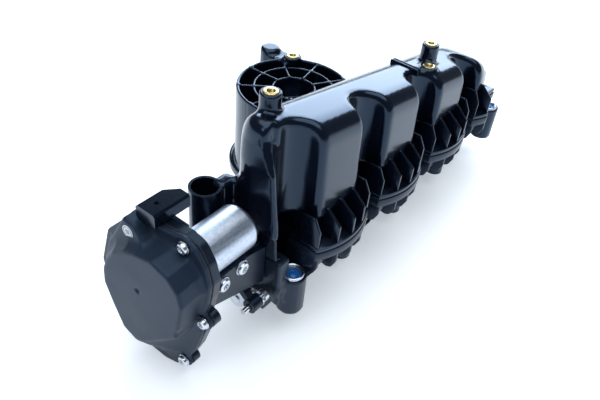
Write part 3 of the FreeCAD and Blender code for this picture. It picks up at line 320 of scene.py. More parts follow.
def add_lathe(bm, profile, centre, axis="Z", steps=64):
    """Adds a solid of revolution from (radius, height) rings, some with the depth of six lobes."""
    rings = []
    for radius, along, *lobes in profile:
        if radius < 1e-6:
            spot = Vector(centre) + place(axis, along, 0.0, 0.0)
            rings.append([bm.verts.new(spot)])
            continue
        loop = []
        for k in range(steps):
            turn = 2 * math.pi * k / steps
            reach = radius * (1 + lobes[0] * math.cos(6 * turn)) if lobes else radius
            spot = place(axis, along, reach * math.cos(turn), reach * math.sin(turn))
            loop.append(bm.verts.new(Vector(centre) + spot))
        rings.append(loop)
    for low, high in zip(rings, rings[1:]):
        for k in range(steps):
            m = (k + 1) % steps
            if len(low) == 1 and len(high) == 1:
                continue
            if len(low) == 1:
                bm.faces.new((low[0], high[m], high[k]))
            elif len(high) == 1:
                bm.faces.new((low[k], low[m], high[0]))
            else:
                bm.faces.new((low[k], low[m], high[m], high[k]))
    if len(rings[0]) > 1 and len(rings[-1]) > 1:
        for k in range(steps):
            m = (k + 1) % steps
            bm.faces.new((rings[-1][k], rings[-1][m], rings[0][m], rings[0][k]))


def rounded_outline(points, radius, steps=5):
    """Outline with each corner replaced by a short arc."""
    result = []
    count = len(points)
    for i in range(count):
        corner = Vector(points[i])
        before, after = Vector(points[i - 1]) - corner, Vector(points[(i + 1) % count]) - corner
        half = before.angle(after) / 2
        reach = min(radius / math.tan(half), 0.45 * before.length, 0.45 * after.length)
        first = corner + before.normalized() * reach
        last = corner + after.normalized() * reach
        for k in range(steps + 1):
            t = k / steps
            spot = first * (1 - t) ** 2 + corner * 2 * t * (1 - t) + last * t ** 2
            result.append((spot.x, spot.y))
    return result


def polygon_distance(points, a, b):
    """Distance to a closed outline, negative inside, for two arrays that broadcast together."""
    nearest, inside = np.inf, False
    for (a0, b0), (a1, b1) in zip(points, points[1:] + points[:1]):
        run, rise = a1 - a0, b1 - b0
        t = np.clip(((a - a0) * run + (b - b0) * rise) / (run * run + rise * rise), 0, 1)
        nearest = np.minimum(nearest, (a - a0 - t * run) ** 2 + (b - b0 - t * rise) ** 2)
        if rise:
            level = (b0 > b) != (b1 > b)
            inside = inside ^ (level & (a < a0 + run * (b - b0) / rise))
    return np.where(inside, -1, 1) * np.sqrt(nearest)


# ---------------------------------------------------------------- distance fields

def smooth_min(a, b, blend):
    h = np.clip(0.5 + 0.5 * (b - a) / blend, 0, 1)
    return b + (a - b) * h - blend * h * (1 - h)


def smooth_max(a, b, blend):
    return -smooth_min(-a, -b, blend)


class Field:
    """Grid of points in millimetres on which a shape's signed distance is worked out."""

    def __init__(self, low, high, step):
        self.low, self.step = np.array(low, float), step
        counts = [int(math.ceil((b - a) / step)) + 1 for a, b in zip(low, high)]
        axes = [np.float32(a + step * np.arange(n)) for a, n in zip(low, counts)]
        self.x = axes[0][:, None, None]
        self.y = axes[1][None, :, None]
        self.z = axes[2][None, None, :]
        self.shape = tuple(counts)

    def box(self, low, high, radius=0.0):
        """Box with rounded edges."""
        parts = []
        for value, a, b in zip((self.x, self.y, self.z), low, high):
            parts.append(np.abs(value - (a + b) / 2) - (b - a) / 2 + radius)
        inner = np.minimum(np.maximum(np.maximum(parts[0], parts[1]), parts[2]), 0)
        outer = np.sqrt(sum(np.maximum(p, 0) ** 2 for p in parts))
        return outer + inner - radius

    def rod(self, centre, radius, low, high, axis="Z", edge=0.0):
        """Cylinder along an axis, with rounded ends."""
        values = {"X": (self.y, self.z, self.x), "Y": (self.z, self.x, self.y),
                  "Z": (self.x, self.y, self.z)}[axis]
        reach = np.sqrt((values[0] - centre[0]) ** 2 + (values[1] - centre[1]) ** 2)
        across = reach - radius + edge
        along = np.abs(values[2] - (low + high) / 2) - (high - low) / 2 + edge
        inner = np.minimum(np.maximum(across, along), 0)
        outer = np.sqrt(np.maximum(across, 0) ** 2 + np.maximum(along, 0) ** 2)
        return outer + inner - edge

    def surface(self, field, name):
        """Smooth closed mesh of the zero surface, in metres, one vertex in each crossed cell."""
        field = np.ascontiguousarray(np.broadcast_to(field, self.shape), dtype=np.float32).copy()
        for axis in range(3):
            ends = [slice(None)] * 3
            for end in (0, -1):
                ends[axis] = end
                field[tuple(ends)] = np.maximum(field[tuple(ends)], self.step * 0.3)
        inside = field < 0
        low = inside[:-1, :-1, :-1]
        mixed = np.zeros(low.shape, bool)
        offsets = [(i, j, k) for i in (0, 1) for j in (0, 1) for k in (0, 1)]
        nx, ny, nz = self.shape
        for i, j, k in offsets:
            mixed |= inside[i:nx - 1 + i, j:ny - 1 + j, k:nz - 1 + k] != low
        cells = np.argwhere(mixed)
        index = np.full(low.shape, -1, np.int64)
        index[mixed] = np.arange(len(cells))
        total = np.zeros((len(cells), 3))
        count = np.zeros(len(cells))
        for axis in range(3):
            for i, j, k in offsets:
                start = np.array((i, j, k))
                if start[axis]:
                    continue
                stop = start.copy()
                stop[axis] = 1
                a = field[tuple((cells + start).T)]
                b = field[tuple((cells + stop).T)]
                hit = (a < 0) != (b < 0)
                t = np.where(hit, a / np.where(hit, a - b, 1), 0)
                total[hit] += start + (stop - start) * t[hit, None]
                count += hit
        points = cells + total / count[:, None]
        quads = []
        for axis in range(3):
            others = [n for n in range(3) if n != axis]
            first = [slice(None)] * 3
            second = [slice(None)] * 3
            first[axis], second[axis] = slice(0, -1), slice(1, None)
            a, b = inside[tuple(first)], inside[tuple(second)]
            crossing = np.argwhere(a != b)
            keep = (crossing[:, others[0]] > 0) & (crossing[:, others[1]] > 0)
            keep &= crossing[:, others[0]] < self.shape[others[0]] - 1
            keep &= crossing[:, others[1]] < self.shape[others[1]] - 1
            crossing = crossing[keep]
            starts_inside = a[tuple(crossing.T)]
            loop = []
            for u, v in ((-1, -1), (0, -1), (0, 0), (-1, 0)):
                cell = crossing.copy()
                cell[:, others[0]] += u
                cell[:, others[1]] += v
                loop.append(index[tuple(cell.T)])
            quad = np.stack(loop, 1)
            flip = starts_inside if axis != 1 else ~starts_inside
            quad[~flip] = quad[~flip][:, ::-1]
            quads.append(quad)
        quads = np.concatenate(quads)
        points = self.settle(field, points)
        mesh = bpy.data.meshes.new(name)
        mesh.vertices.add(len(points))
        places = (self.low + points * self.step) * MM
        mesh.vertices.foreach_set("co", places.astype(np.float32).ravel())
        mesh.loops.add(len(quads) * 4)
        mesh.loops.foreach_set("vertex_index", quads.astype(np.int32).ravel())
        mesh.polygons.add(len(quads))
        mesh.polygons.foreach_set("loop_start", np.arange(len(quads), dtype=np.int32) * 4)
        mesh.update(calc_edges=True)
        mesh.validate()
        return mesh

    def settle(self, field, points):
        """Moves points onto the zero surface along the field's slope."""
        slope = np.stack(np.gradient(field), -1).astype(np.float32)
        for _ in range(2):
            value = self.sample(field[..., None], points)[:, 0]
            grade = self.sample(slope, points)
            square = np.maximum((grade ** 2).sum(1), 0.05)
            shift = grade * (value / square)[:, None]
            points = points - np.clip(shift, -0.5, 0.5)
        return points

    def sample(self, values, points):
        base = np.clip(np.floor(points).astype(int), 0, np.array(self.shape) - 2)
        part = np.clip(points - base, 0, 1)
        result = 0
        for i in (0, 1):
            for j in (0, 1):
                for k in (0, 1):
                    weight = (np.abs(1 - i - part[:, 0]) * np.abs(1 - j - part[:, 1])
                              * np.abs(1 - k - part[:, 2]))
                    corner = values[base[:, 0] + i, base[:, 1] + j, base[:, 2] + k]
                    result = result + corner * weight[:, None]
        return result


# ---------------------------------------------------------------- upper shell

def niche_distance(grid, niche_x):
    """Distance outside the round back of a bolt niche, open towards the front."""
    back = np.maximum(grid.y - NICHE_Y, 0)
    return np.sqrt((grid.x - niche_x) ** 2 + back ** 2) - NICHE_RADIUS


def upper_shell():
    """Plenum and four runner humps in one glossy moulding, with deep bolt niches."""
    grid = Field((-212, -48, SEAM - 2), (164, 32, 200), 1.5)
    x, y, z = grid.x, grid.y, grid.z
    slope = 1 / math.hypot(1, TOP_FALL)
    crown = 1.1 * ((y - 4) / 30) ** 2
    body = (z - top_height(x) + crown) * slope
    drop_x, drop_run, drop_fall = 108.0, 44.0, 29.0
    drop = ((x - drop_x) * drop_fall + (z - top_height(drop_x)) * drop_run)
    tail = drop / math.hypot(drop_run, drop_fall)
    end_x, end_run, end_fall = 144.0, 16.0, 27.0
    drop = ((x - end_x) * end_fall + (z - 107) * end_run) / math.hypot(end_run, end_fall)
    tail = smooth_max(tail, drop, 14.0)
    tail = smooth_max(tail, (x - y - FAR_CORNER) / math.sqrt(2), 12.0)
    body = smooth_max(body, tail, 10.0)
    back = ((y - 7) * 16 + (z - top_height(x)) * 17) / math.hypot(16, 17)
    body = smooth_max(body, back, 6.0)
    body = smooth_max(body, y - PLENUM_BACK, 5.0)
    body = smooth_max(body, HUMP_FRONT + 0.045 * (z - PLENUM_FLOOR) - y, 17.0)
    lean = np.interp(z, [100, 150, 166, 190], [-200.0, -198.0, -194.0, -192.0])
    body = smooth_max(body, lean - x, 14.0)
    corner = (-(x + 196) * 16 + (y - 8) * 21) / math.hypot(16, 21)
    body = smooth_max(body, corner, 10.0)
    body = smooth_max(body, x - PLENUM_RIGHT, 5.0)
    body = smooth_max(body, PLENUM_FLOOR - 7 - z, 6.0)
    for centre in CENTRES:
        hump = grid.box((centre - HUMP_HALF, HUMP_FRONT + 4, SEAM),
                        (centre + HUMP_HALF, 19.5, PLENUM_FLOOR + 10), 1.0)
        body = smooth_min(body, smooth_max(hump, tail, 6.0), 2.0)
    body = smooth_min(body, grid.box((-186, 8, SEAM), (158, 12, PLENUM_FLOOR + 4)), 1.5)
    wall = grid.box((END_WALL - 1, -36, SEAM), (END_WALL + 8, 20, PLENUM_FLOOR + 4), 0.8)
    body = smooth_min(body, wall, 1.5)
    body = smooth_min(body, grid.box((-207, 13, 78), (-190, 26, 126), 4.0), 9.0)
    ridge = np.interp(z, [72, 109, 149, 156, 162, 170, 200], [-36, -33, -26, -22, -17, -12, -12])
    body = smooth_max(body, -np.maximum(x - NOSE_X, y - ridge), 5.0)
    solid = body
    for niche_x in NICHES:
        niche = np.maximum(niche_distance(grid, niche_x), SEAM + 4 - z)
        body = smooth_max(body, -niche, 7.0)
    hollow = solid + WALL
    for niche_x in NICHES:
        hollow = np.maximum(hollow, WALL - niche_distance(grid, niche_x))
    for centre in CENTRES:
        duct = grid.box((centre - 23.5, -33, SEAM - 5), (centre + 23.5, 16, PLENUM_FLOOR + 12))
        duct = np.where(z < PLENUM_FLOOR - 4, np.maximum(duct, tail + WALL),
                        np.maximum(duct, solid + WALL))
        hollow = np.minimum(hollow, duct)
    hollow = np.maximum(hollow, WALL - np.maximum(x - NOSE_X, y - ridge))
    for boss_x, boss_y, rise in TOP_BOSSES:
        top = top_height(boss_x) + rise
        boss = grid.rod((boss_x, boss_y), INSERT_BOSS, top - 24, top, edge=0.6)
        body = smooth_min(body, boss, 4.0)
        hollow = np.maximum(hollow, -grid.rod((boss_x, boss_y), INSERT_BOSS, top - 22, top + 5))
        body = np.maximum(body, -grid.rod((boss_x, boss_y), 5.5, top - 12, top + 5))
    body = smooth_max(body, -hollow, 0.8)
    mesh = grid.surface(body, "upper_shell_body")
    piece("upper_shell_body", mesh, "gloss_black", replaces=["upper_shell"], sharp=0)


def band_outline(centre, inset=0.0, steps=28, back=-20.0):
    """Straight back, bulging front, as seen along Z."""
    half = BAND_HALF - inset
    points = [(centre + half, back), (centre - half, back)]
    for k in range(steps + 1):
        offset = -half + 2 * half * k / steps
        points.append((centre + offset, lip_front(centre, offset) + inset))
    return points


def bands():
    """Weld lips of the upper and lower shell, a pair for each hump."""
    upper, lower = bmesh.new(), bmesh.new()
    for centre in CENTRES:
        add_prism(upper, "Z", band_outline(centre, 0.6), SEAM + 0.2, SEAM + LIP_DEPTH, 0.7)
        add_prism(lower, "Z", band_outline(centre), SEAM - BAND_DEPTH, SEAM - 0.3, 0.8)
    piece("upper_weld_lips", finished(upper, "upper_weld_lips"), "gloss_black")
    piece("lower_weld_lips", finished(lower, "lower_weld_lips"), "satin_black")


def fins():
    """Stiffening fins above and below the weld lips."""
    upper, lower = bmesh.new(), bmesh.new()
    for centre in CENTRES:
        for offset in RIB_OFFSETS:
            if centre + offset > 140:
                continue
            edge = lip_front(centre, offset)
            start = centre + offset - RIB_THICK / 2
            crest = 103 if centre + offset < 125 else 90
            outline = rounded_outline([(-30, SEAM + 1), (edge + 1.6, SEAM + 1),
                                       (edge + 1.6, crest - 12), (-41.5, crest), (-30, crest)], 2.5)
            add_prism(upper, "X", outline, start, start + RIB_THICK, 0.55)
            foot = RIB_FOOT
            outline = rounded_outline([(-18, SEAM - 2), (edge + 0.4, SEAM - 2),
                                       (edge + 0.8, foot + 10), (edge + 4.5, foot + 2),
                                       (edge + 9, foot), (edge + 14, foot + 1), (-26, 27),
                                       (-17, FLANGE)], 5.0)
            add_prism(lower, "X", outline, start, start + RIB_THICK, 0.6)
    piece("upper_fins", finished(upper, "upper_fins"), "gloss_black")
    piece("lower_fins", finished(lower, "lower_fins"), "satin_black")


# ---------------------------------------------------------------- lower shell

def runner_field(grid, centre, grow):
    """Tapering runner between the head flange and the seam."""
    part = (grid.z - FLANGE) / (SEAM - FLANGE)
    side = np.abs(grid.x - centre) - 23 - 0.5 * part - grow
    front = -15 - 18 * part - grow - grid.y
    back = grid.y - 15 - part - grow
    return np.maximum(np.maximum(side, np.maximum(front, back)), np.abs(grid.z - 47) - 25)


def lower_shell():
    """Runner halves, pans behind the ribs, end wall, bolt bosses and the actuator arm."""
    grid = Field((-252, -56, 7), (190, 24, 90), 1.5)
    x, y, z = grid.x, grid.y, grid.z
    pan = rounded_outline([(-18, 69), (-50, 69), (-48, 56), (-40, 46), (-24, 31), (-17, FLANGE)],
                          5.0)
    pan = polygon_distance(pan, y[0], z[0])[None]
    body = grid.box((-186, 8, FLANGE), (172, 12, SEAM))
    for centre in CENTRES:
        body = smooth_min(body, runner_field(grid, centre, WALL), 2.0)
        body = smooth_min(body, smooth_max(pan, np.abs(x - centre) - 32, 3.0), 2.5)
    trim = polygon_distance(FAR_TRIM, x[:, :, 0], y[:, :, 0])[:, :, None]
    body = smooth_max(body, -trim, 4.0)
    wall = [(-36, 71.8), (-36, 40), (-31, 34), (-24, 27), (20, 27), (20, 71.8)]
    wall = polygon_distance(wall, y[0], z[0])[None]
    body = smooth_min(body, smooth_max(wall, np.abs(x - END_WALL - 6) - 6, 1.5), 2.0)
    for boss_x, boss_y in END_BOSSES:
        boss = grid.rod((boss_x, boss_y), END_RADIUS, END_FOOT, END_TOP, edge=1.2)
        body = smooth_min(body, boss, 4.0)
        body = smooth_min(body, grid.box((boss_x - 4, boss_y, 12), (boss_x + 4, 12, 44), 1.0), 3.0)
    body = smooth_min(body, grid.box((END_WALL, -36, 26), (-176, -30, 44), 1.0), 3.0)
    body = smooth_min(body, grid.box((152, -36, 24), (176, -30, 46), 1.0), 3.0)
    arm = [(ARM_FRONT, 56), (ARM_FRONT, 87), (ARM_BACK, 85.5), (ARM_BACK, 66), (-13, 56)]
    arm = polygon_distance(arm, y[0], z[0])[None]
    arm = smooth_max(arm, np.abs(x + 223) - 26, 1.5)
    body = smooth_min(body, arm, 3.0)
    cut = grid.box((-188.5, -17, -1), (188.5, 33, FLANGE))
    for lug_x in LUG_X:
        cut = np.minimum(cut, grid.rod((lug_x, FRONT_LUG_Y), 11, FLANGE - 2, 42))
    for boss_x, boss_y in END_BOSSES:
        cut = np.minimum(cut, grid.rod((boss_x, boss_y), SLEEVE_RADIUS, 0, 60))
    for centre in CENTRES:
        part = (z - FLANGE) / (SEAM - FLANGE)
        room = np.maximum(np.abs(x - centre) - 23 - 0.5 * part,
                          np.maximum(-15 - 18 * part - y, y - 15 - part))
        cut = np.minimum(cut, room)
    body = smooth_max(body, -cut, 0.8)
    mesh = grid.surface(body, "lower_shell_body")
    piece("lower_shell_body", mesh, "satin_black", replaces=["lower_shell"], sharp=0)


# ---------------------------------------------------------------- inlet drum

def inlet_bolts():
    """Places of the three bolts of the inlet flange."""
    turns = [math.radians(angle) for angle in INLET_ANGLES]
    return [(INLET[0] + INLET_CIRCLE * math.cos(turn), INLET[1] + INLET_CIRCLE * math.sin(turn))
            for turn in turns]


def inlet_drum():
    """Drum with a domed web under thin ring and spoke ribs, its flange, bosses and ear."""
    grid = Field((-134, 22, 54), (-24, 122, 150), 1.25)
    x, y, z = grid.x, grid.y, grid.z
    centre_x, centre_y = DRUM
    radius, base, web, rim = DRUM_RADIUS, DRUM_BASE, DRUM_WEB, DRUM_RIM
    across = np.sqrt((x - centre_x) ** 2 + (y - centre_y) ** 2)
    body = grid.rod((centre_x, centre_y), radius, base + 6, rim, edge=1.6)
    flange = grid.rod(INLET, 47, base, base + 8, edge=1.2)
    body = smooth_min(body, flange, 3.0)
    for spot in inlet_bolts():
        body = smooth_min(body, grid.rod(spot, 8, base, base + 16, edge=1.0), 2.5)
    dome = web - 5 + 9 * np.cos(np.clip(across / radius, 0, 1) * math.pi / 2)
    dome = dome - 7 * np.exp(-((x + 62) ** 2 + (y - 74) ** 2) / 260)
    tray = np.maximum(across - radius + 3.0, dome - z)
    body = smooth_max(body, -tray, 2.5)
    ribs = np.maximum(np.abs(across - 18) - 1.0, np.abs(z - rim + 13) - 11)
    ribs = np.minimum(ribs, np.maximum(np.abs(across - 34) - 1.0, np.abs(z - rim + 13) - 11.5))
    for i in range(9):
        turn = math.radians(40 * i + 12)
        offset = np.abs((x - centre_x) * math.sin(turn) - (y - centre_y) * math.cos(turn)) - 1.0
        along = (x - centre_x) * math.cos(turn) + (y - centre_y) * math.sin(turn)
        spoke = np.maximum(np.maximum(offset, 17 - along), across - radius + 1)
        ribs = np.minimum(ribs, np.maximum(spoke, np.abs(z - rim + 13) - 12))
    body = smooth_min(body, ribs, 2.0)
    boss = grid.rod(DRUM_BOSS, INSERT_BOSS, web - 8, DRUM_BOSS_TOP, edge=0.6)
    ear = grid.rod((-45, 108), 9, web, 144, edge=3.0)
    arm = grid.box((-54, 80, web), (-36, 108, rim - 1), 1.5)
    body = smooth_min(body, smooth_min(smooth_min(boss, ear, 3.0), arm, 3.0), 2.5)
    chamber = np.maximum(across - radius + 3.0, np.maximum(base + 8 - z, z - web + 9))
    body = np.maximum(body, -chamber)
    body = np.maximum(body, -grid.rod(INLET, 26, 40, 80))
    groove = np.abs(np.sqrt((x - INLET[0]) ** 2 + (y - INLET[1]) ** 2) - 30) - 1.5
    body = np.maximum(body, -np.maximum(groove, z - base - 2))
    body = np.maximum(body, -grid.rod(DRUM_BOSS, 5.5, 133, 160))
    for spot in inlet_bolts():
        body = np.maximum(body, -grid.rod(spot, 5.5, 50, 68))
    body = np.maximum(body, PLENUM_BACK - 0.5 - y)
    mesh = grid.surface(body, "inlet_drum_body")
    piece("inlet_drum_body", mesh, "gloss_black", replaces=["inlet_housing"], sharp=0)


# ---------------------------------------------------------------- actuator cover and can

def gearbox_cover():
    """Moulded cover: flange with screw tabs, faceted dome and the raised lobe beside it."""
    grid = Field((-291, -38, -19), (-262, 86, 138), 1.0)
    x, y, z = grid.x, grid.y, grid.z
    slices = []
    for along in x.ravel():
        t = np.clip((COVER_BACK - along) / (COVER_BACK - FRONT), 0, 1)
        outline = [(a + (c - a) * t, b + (d - b) * t)
                   for (a, b), (c, d) in zip(MAIN_BASE, MAIN_FACE)]
        slices.append(polygon_distance(outline, y[0], z[0]))
    main = smooth_max(np.stack(slices), FRONT - x, 2.2)
    lobe = polygon_distance(rounded_outline(LOBE, 4.0), y[0], z[0])[None]
    body = smooth_min(main, smooth_max(lobe, LOBE_FRONT - x, 3.0), 6.0)
    flange = polygon_distance(rounded_outline(CASE_OUTLINE, 9.0), y[0], z[0])[None]
    for spot in COVER_SCREWS:
        tab = np.sqrt((y - spot[0]) ** 2 + (z - spot[1]) ** 2) - 6.5
        flange = smooth_min(flange, tab, 3.0)
    body = smooth_min(body, smooth_max(flange, HEAD_X - x, 1.2), 4.0)
    hollow = body + 2.4
    for spot in COVER_SCREWS:
        post = np.sqrt((y - spot[0]) ** 2 + (z - spot[1]) ** 2)
        body = smooth_max(body, -np.maximum(post - 5.6, x - HEAD_X), 2.0)
        hollow = np.maximum(hollow, 8.0 - post)
        body = np.maximum(body, 2.2 - post)
    hollow = np.maximum(hollow, 5.0 - np.sqrt((y - IDLER[0]) ** 2 + (z - IDLER[1]) ** 2)
                        - 9 * (x > -276))
    dimple = np.sqrt((x - FRONT + 0.6) ** 2 + (y - IDLER[0]) ** 2 + (z - IDLER[1]) ** 2) - 2.4
    body = smooth_max(body, -dimple, 0.6)
    body = np.maximum(np.maximum(body, x - COVER_BACK), -hollow)
    mesh = grid.surface(body, "gearbox_cover_body")
    piece("gearbox_cover_body", mesh, "cover_grey", replaces=["gearbox_cover"], sharp=0)


def motor_can():
    """Deep-drawn can with a rolled foot, a rounded end and the rear bush seat."""
    bm = bmesh.new()
    end, outer, inner = CAN_LENGTH, CAN_RADIUS, CAN_RADIUS - 1.2
    profile = [(inner, 0.1), (outer + 0.7, 0.1), (outer + 0.9, 0.6), (outer + 0.7, 1.2),
               (outer + 0.1, 1.9), (outer, 3.0), (outer, end - 4.6)]
    for k in range(1, 9):
        turn = math.pi / 2 * k / 8
        profile.append((outer - 4.6 + 4.6 * math.cos(turn), end - 4.6 + 4.6 * math.sin(turn)))
    profile += [(6.2, end), (5.7, end - 0.5), (3.5, end - 0.5), (3.5, end - 1.4),
                (outer - 5.5, end - 1.4), (inner - 1.2, end - 2.6), (inner, end - 5.0)]
    add_lathe(bm, profile, (BACK, *MOTOR), "X", 96)
    piece("motor_can_body", finished(bm, "motor_can_body"), "galvanised_can",
          replaces=["motor_can"], sharp=35)


# ---------------------------------------------------------------- fasteners and inserts

def add_screw(bm, seat, axis, radius, length):
    """Pan-head screw with a six-lobed recess, its head on the near side of its seat."""
    lobe = radius * 0.44
    profile = [(0, -1.3), (lobe * 0.8, -1.4, 0.16), (lobe, -3.2, 0.16), (lobe + 0.35, -3.55, 0.06),
               (radius * 0.72, -3.5), (radius * 0.9, -3.0), (radius, -2.1), (radius + 0.1, -0.9),
               (radius + 0.7, -0.8), (radius + 0.7, 0), (2, 0), (2, length - 1.2),
               (1.1, length), (0, length)]
    add_lathe(bm, profile, seat, axis, 72)


def screws():
    cover, bracket = bmesh.new(), bmesh.new()
    for spot in COVER_SCREWS:
        add_screw(cover, (HEAD_X, *spot), "X", 4.3, 12)
    for along, up in BRACKET_SCREWS:
        add_screw(bracket, (along, BRACKET_FACE, up), "Y", 5.3, 14)
    piece("cover_screw_set", finished(cover, "cover_screw_set"), "zinc_steel",
          replaces=["cover_screws"])
    piece("bracket_screw_set", finished(bracket, "bracket_screw_set"), "zinc_steel",
          replaces=["bracket_screws"])


def sleeves():
    """Rolled-lip sleeves in the end bosses, short ones in the lugs, and the domed plugs."""
    steel, blue = bmesh.new(), bmesh.new()
    outer, bore, top = SLEEVE_RADIUS, SLEEVE_BORE, SLEEVE_TOP
    for spot in END_BOSSES:
        profile = [(bore, END_FOOT + 0.4), (bore + 0.4, END_FOOT), (outer - 0.4, END_FOOT),
                   (outer, END_FOOT + 0.4), (outer, top - 0.9), (outer - 0.5, top + 0.1),
                   (outer - 1.2, top + 0.4), (outer - 2.0, top - 0.1), (bore + 0.4, top - 0.9),
                   (bore, top - 1.6)]
        add_lathe(steel, profile, (*spot, 0), "Z", 72)
        dome = [(0, 36), (bore - 0.3, 36), (bore - 0.1, 36.5), (bore - 0.1, top - 2.4),
                (bore - 0.9, top - 1.9), (bore - 1.4, top - 2.3), (bore - 2.2, top - 2.4),
                (bore - 3.2, top - 1.7), (1.2, top - 1.2), (0, top - 1.15)]
        add_lathe(blue, dome, (*spot, 0), "Z", 72)
    for lug_x in LUG_X:
        for lug_y in (FRONT_LUG_Y, REAR_LUG_Y):
            profile = [(3.9, 0.3), (4.2, 0), (5.7, 0), (6, 0.3), (6, 22.5), (5.6, 23), (4.3, 23),
                       (3.9, 22.6)]
            add_lathe(steel, profile, (lug_x, lug_y, 0), "Z", 48)
    piece("bolt_sleeve_set", finished(steel, "bolt_sleeve_set"), "zinc_steel",
          replaces=["bolt_sleeves"])
    piece("sleeve_plug_set", finished(blue, "sleeve_plug_set"), "blue_plug",
          replaces=["sleeve_plugs"])


def inserts():
    """Brass inserts: a rounded collar over a threaded bore."""
    bm = bmesh.new()
    spots = [(a, b, top_height(a) + rise, 1) for a, b, rise in TOP_BOSSES]
    spots.append((*DRUM_BOSS, DRUM_BOSS_TOP, 1))
    spots += [(a, b, DRUM_BASE, -1) for a, b in inlet_bolts()]
    for a, b, height, side in spots:
        rings = [(5.2, -12), (5.5, -11.6), (5.5, -0.2), (5.35, 0.25), (4.9, 0.45), (3.4, 0.45),
                 (2.9, 0.1)]
        for turn in range(10):
            rings += [(2.5, -0.5 - turn), (2.9, -1.0 - turn)]
        rings += [(2.5, -11.2), (2.9, -12)]
        add_lathe(bm, [(radius, side * along) for radius, along in rings], (a, b, height), "Z", 48)
    piece("brass_insert_set", finished(bm, "brass_insert_set"), "insert_brass",
          replaces=["brass_inserts"])


def clip():
    """Open square tube end under the actuator, clear of the crank."""
    bm = bmesh.new()
    loops = []
    for half, along in ((4.5, 0), (4.5, 15.4), (4.1, 16), (3.4, 16), (3.0, 15.5), (3.0, 7)):
        corners = [(-half, -half), (half, -half), (half, half), (-half, half)]
        outline = rounded_outline(corners, 1.2)
        loops.append([bm.verts.new((BACK + along, CLIP[0] + a, CLIP[1] + b)) for a, b in outline])
    for low, high in zip(loops, loops[1:]):
        for k in range(len(low)):
            m = (k + 1) % len(low)
            bm.faces.new((low[k], low[m], high[m], high[k]))
    bm.faces.new(loops[0][::-1])
    bm.faces.new(loops[-1])
    piece("clip_tube", finished(bm, "clip_tube"), "satin_black", replaces=["harness_clip"])


def top_ribs():
    """Two short ribs on top of the plenum."""
    bm = bmesh.new()
    for along in (7.0, 11.5):
        top = top_height(along)
        outline = [(-18, top - 5), (-18, top + 0.6), (-16, top + 1.3), (9, top + 1.6),
                   (11, top + 0.9), (11, top - 5)]
        add_prism(bm, "X", outline, along - 0.9, along + 0.9, 0.5)
    piece("plenum_top_ribs", finished(bm, "plenum_top_ribs"), "gloss_black")


def sticker_marks():
    """Plain ring and three bars on the round sticker."""
    bm = bmesh.new()
    a, b = STICKER
    face = LOBE_FRONT - 0.3
    ring = [(3.7, 0.05), (4.1, 0.05), (4.1, -0.06), (3.7, -0.06)]
    add_lathe(bm, ring, (face, a, b), "X", 56)
    for up, half in ((1.4, 1.7), (0, 2.4), (-1.4, 1.3)):
        bar = [(a - half, b + up - 0.3), (a + half, b + up - 0.3), (a + half, b + up + 0.3),
               (a - half, b + up + 0.3)]
        add_prism(bm, "X", bar, face - 0.06, face + 0.05, 0)
    piece("sticker_mark_set", finished(bm, "sticker_mark_set"), "cover_grey")


# ---------------------------------------------------------------- carried-over nodes

def dress_frame():
    """Gives each CAD node that still shows the material of its slot."""
    slots = {part["node"]: part["material_slot"] for part in frame["record"]["subparts"]}
    for name, obj in frame["nodes"].items():
        material = MATERIALS[slots[name]]
        if not obj.material_slots:
            obj.data.materials.append(material)
        for slot in obj.material_slots:
            slot.material = material


# ---------------------------------------------------------------- stage, light and camera

def stage():
    """Pale floor under the lowest point of the object."""
    bm = bmesh.new()
    reach, height = 6000.0, cad_box[0][2] / MM - 0.2
    corners = [(-reach, -reach), (reach, -reach), (reach, reach), (-reach, reach)]
    bm.faces.new([bm.verts.new((a, b, height)) for a, b in corners])
    mesh = finished(bm, "floor")
    floor = bpy.data.objects.new("floor", mesh)
    bpy.context.scene.collection.objects.link(floor)
    material, _, principled = shader("floor_white")
    principled.inputs["Base Color"].default_value = (0.9, 0.91, 0.93, 1)
    principled.inputs["Emission Color"].default_value = (0.86, 0.93, 1.0, 1)
    principled.inputs["Emission Strength"].default_value = 0.45
    principled.inputs["Roughness"].default_value = 0.9
    principled.inputs["Specular IOR Level"].default_value = 0.0
    mesh.materials.append(material)


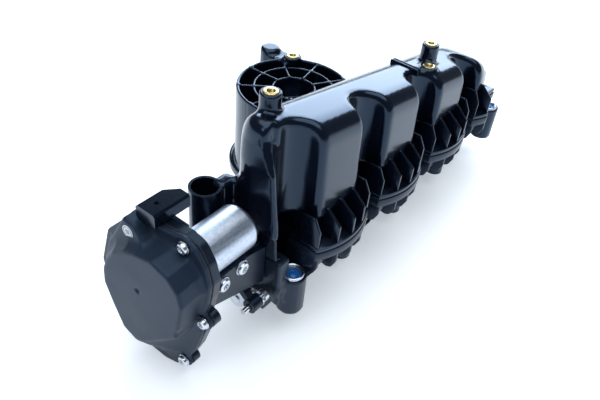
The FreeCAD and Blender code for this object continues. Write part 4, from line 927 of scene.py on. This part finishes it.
def softbox(name, direction, distance, width, height, radiance, colour=(0.86, 0.93, 1.0)):
    """Area light that looks at the middle of the object."""
    light = bpy.data.lights.new(name, "AREA")
    light.shape = "RECTANGLE"
    light.size, light.size_y = width, height
    light.energy = radiance * math.pi * width * height
    light.color = colour
    lamp = bpy.data.objects.new(name, light)
    bpy.context.scene.collection.objects.link(lamp)
    target = (cad_box[0] + cad_box[1]) / 2
    towards = Vector(direction).normalized()
    lamp.location = target + towards * distance
    lamp.rotation_mode = "QUATERNION"
    lamp.rotation_quaternion = towards.to_track_quat("Z", "Y")
    return lamp


def lights():
    sun = bpy.data.lights.new("overhead", "SUN")
    sun.energy = 2.3
    sun.angle = math.radians(70)
    sun.color = (0.95, 0.98, 1.0)
    lamp = bpy.data.objects.new("overhead", sun)
    bpy.context.scene.collection.objects.link(lamp)
    softbox("far_softbox", (0.80, 0.46, 0.40), 1.7, 1.6, 0.95, 6.5, (0.70, 0.84, 1.0))
    softbox("near_softbox", (-0.9, 0.1, 0.75), 1.6, 0.7, 0.5, 2.6)
    world = bpy.data.worlds.new("studio")
    bpy.context.scene.world = world
    world.use_nodes = True
    background = world.node_tree.nodes["Background"]
    background.inputs["Color"].default_value = (0.72, 0.84, 1.0, 1)
    background.inputs["Strength"].default_value = 0.16
    bpy.context.scene.view_settings.view_transform = "Standard"
    bpy.context.scene.view_settings.look = "None"


def camera():
    data = bpy.data.cameras.new("camera")
    data.sensor_width = 36.0
    data.lens = 38.6
    data.clip_start, data.clip_end = 0.05, 20.0
    obj = bpy.data.objects.new("camera", data)
    bpy.context.scene.collection.objects.link(obj)
    right = Vector((0.62161509, -0.77894669, 0.0826845))
    down = Vector((-0.46619371, -0.45271323, -0.76007509))
    forward = Vector((0.62949035, 0.43392716, -0.64455343))
    turn = Matrix((right, -down, -forward)).transposed()
    obj.matrix_world = Matrix.Translation((-0.4650, -0.2326, 0.4191)) @ turn.to_4x4()
    bpy.context.scene.camera = obj


# ---------------------------------------------------------------- assembly

camera()
lights()
stage()
dress_frame()
upper_shell()
lower_shell()
inlet_drum()
bands()
fins()
gearbox_cover()
motor_can()
screws()
sleeves()
inserts()
clip()
top_ribs()
sticker_marks()
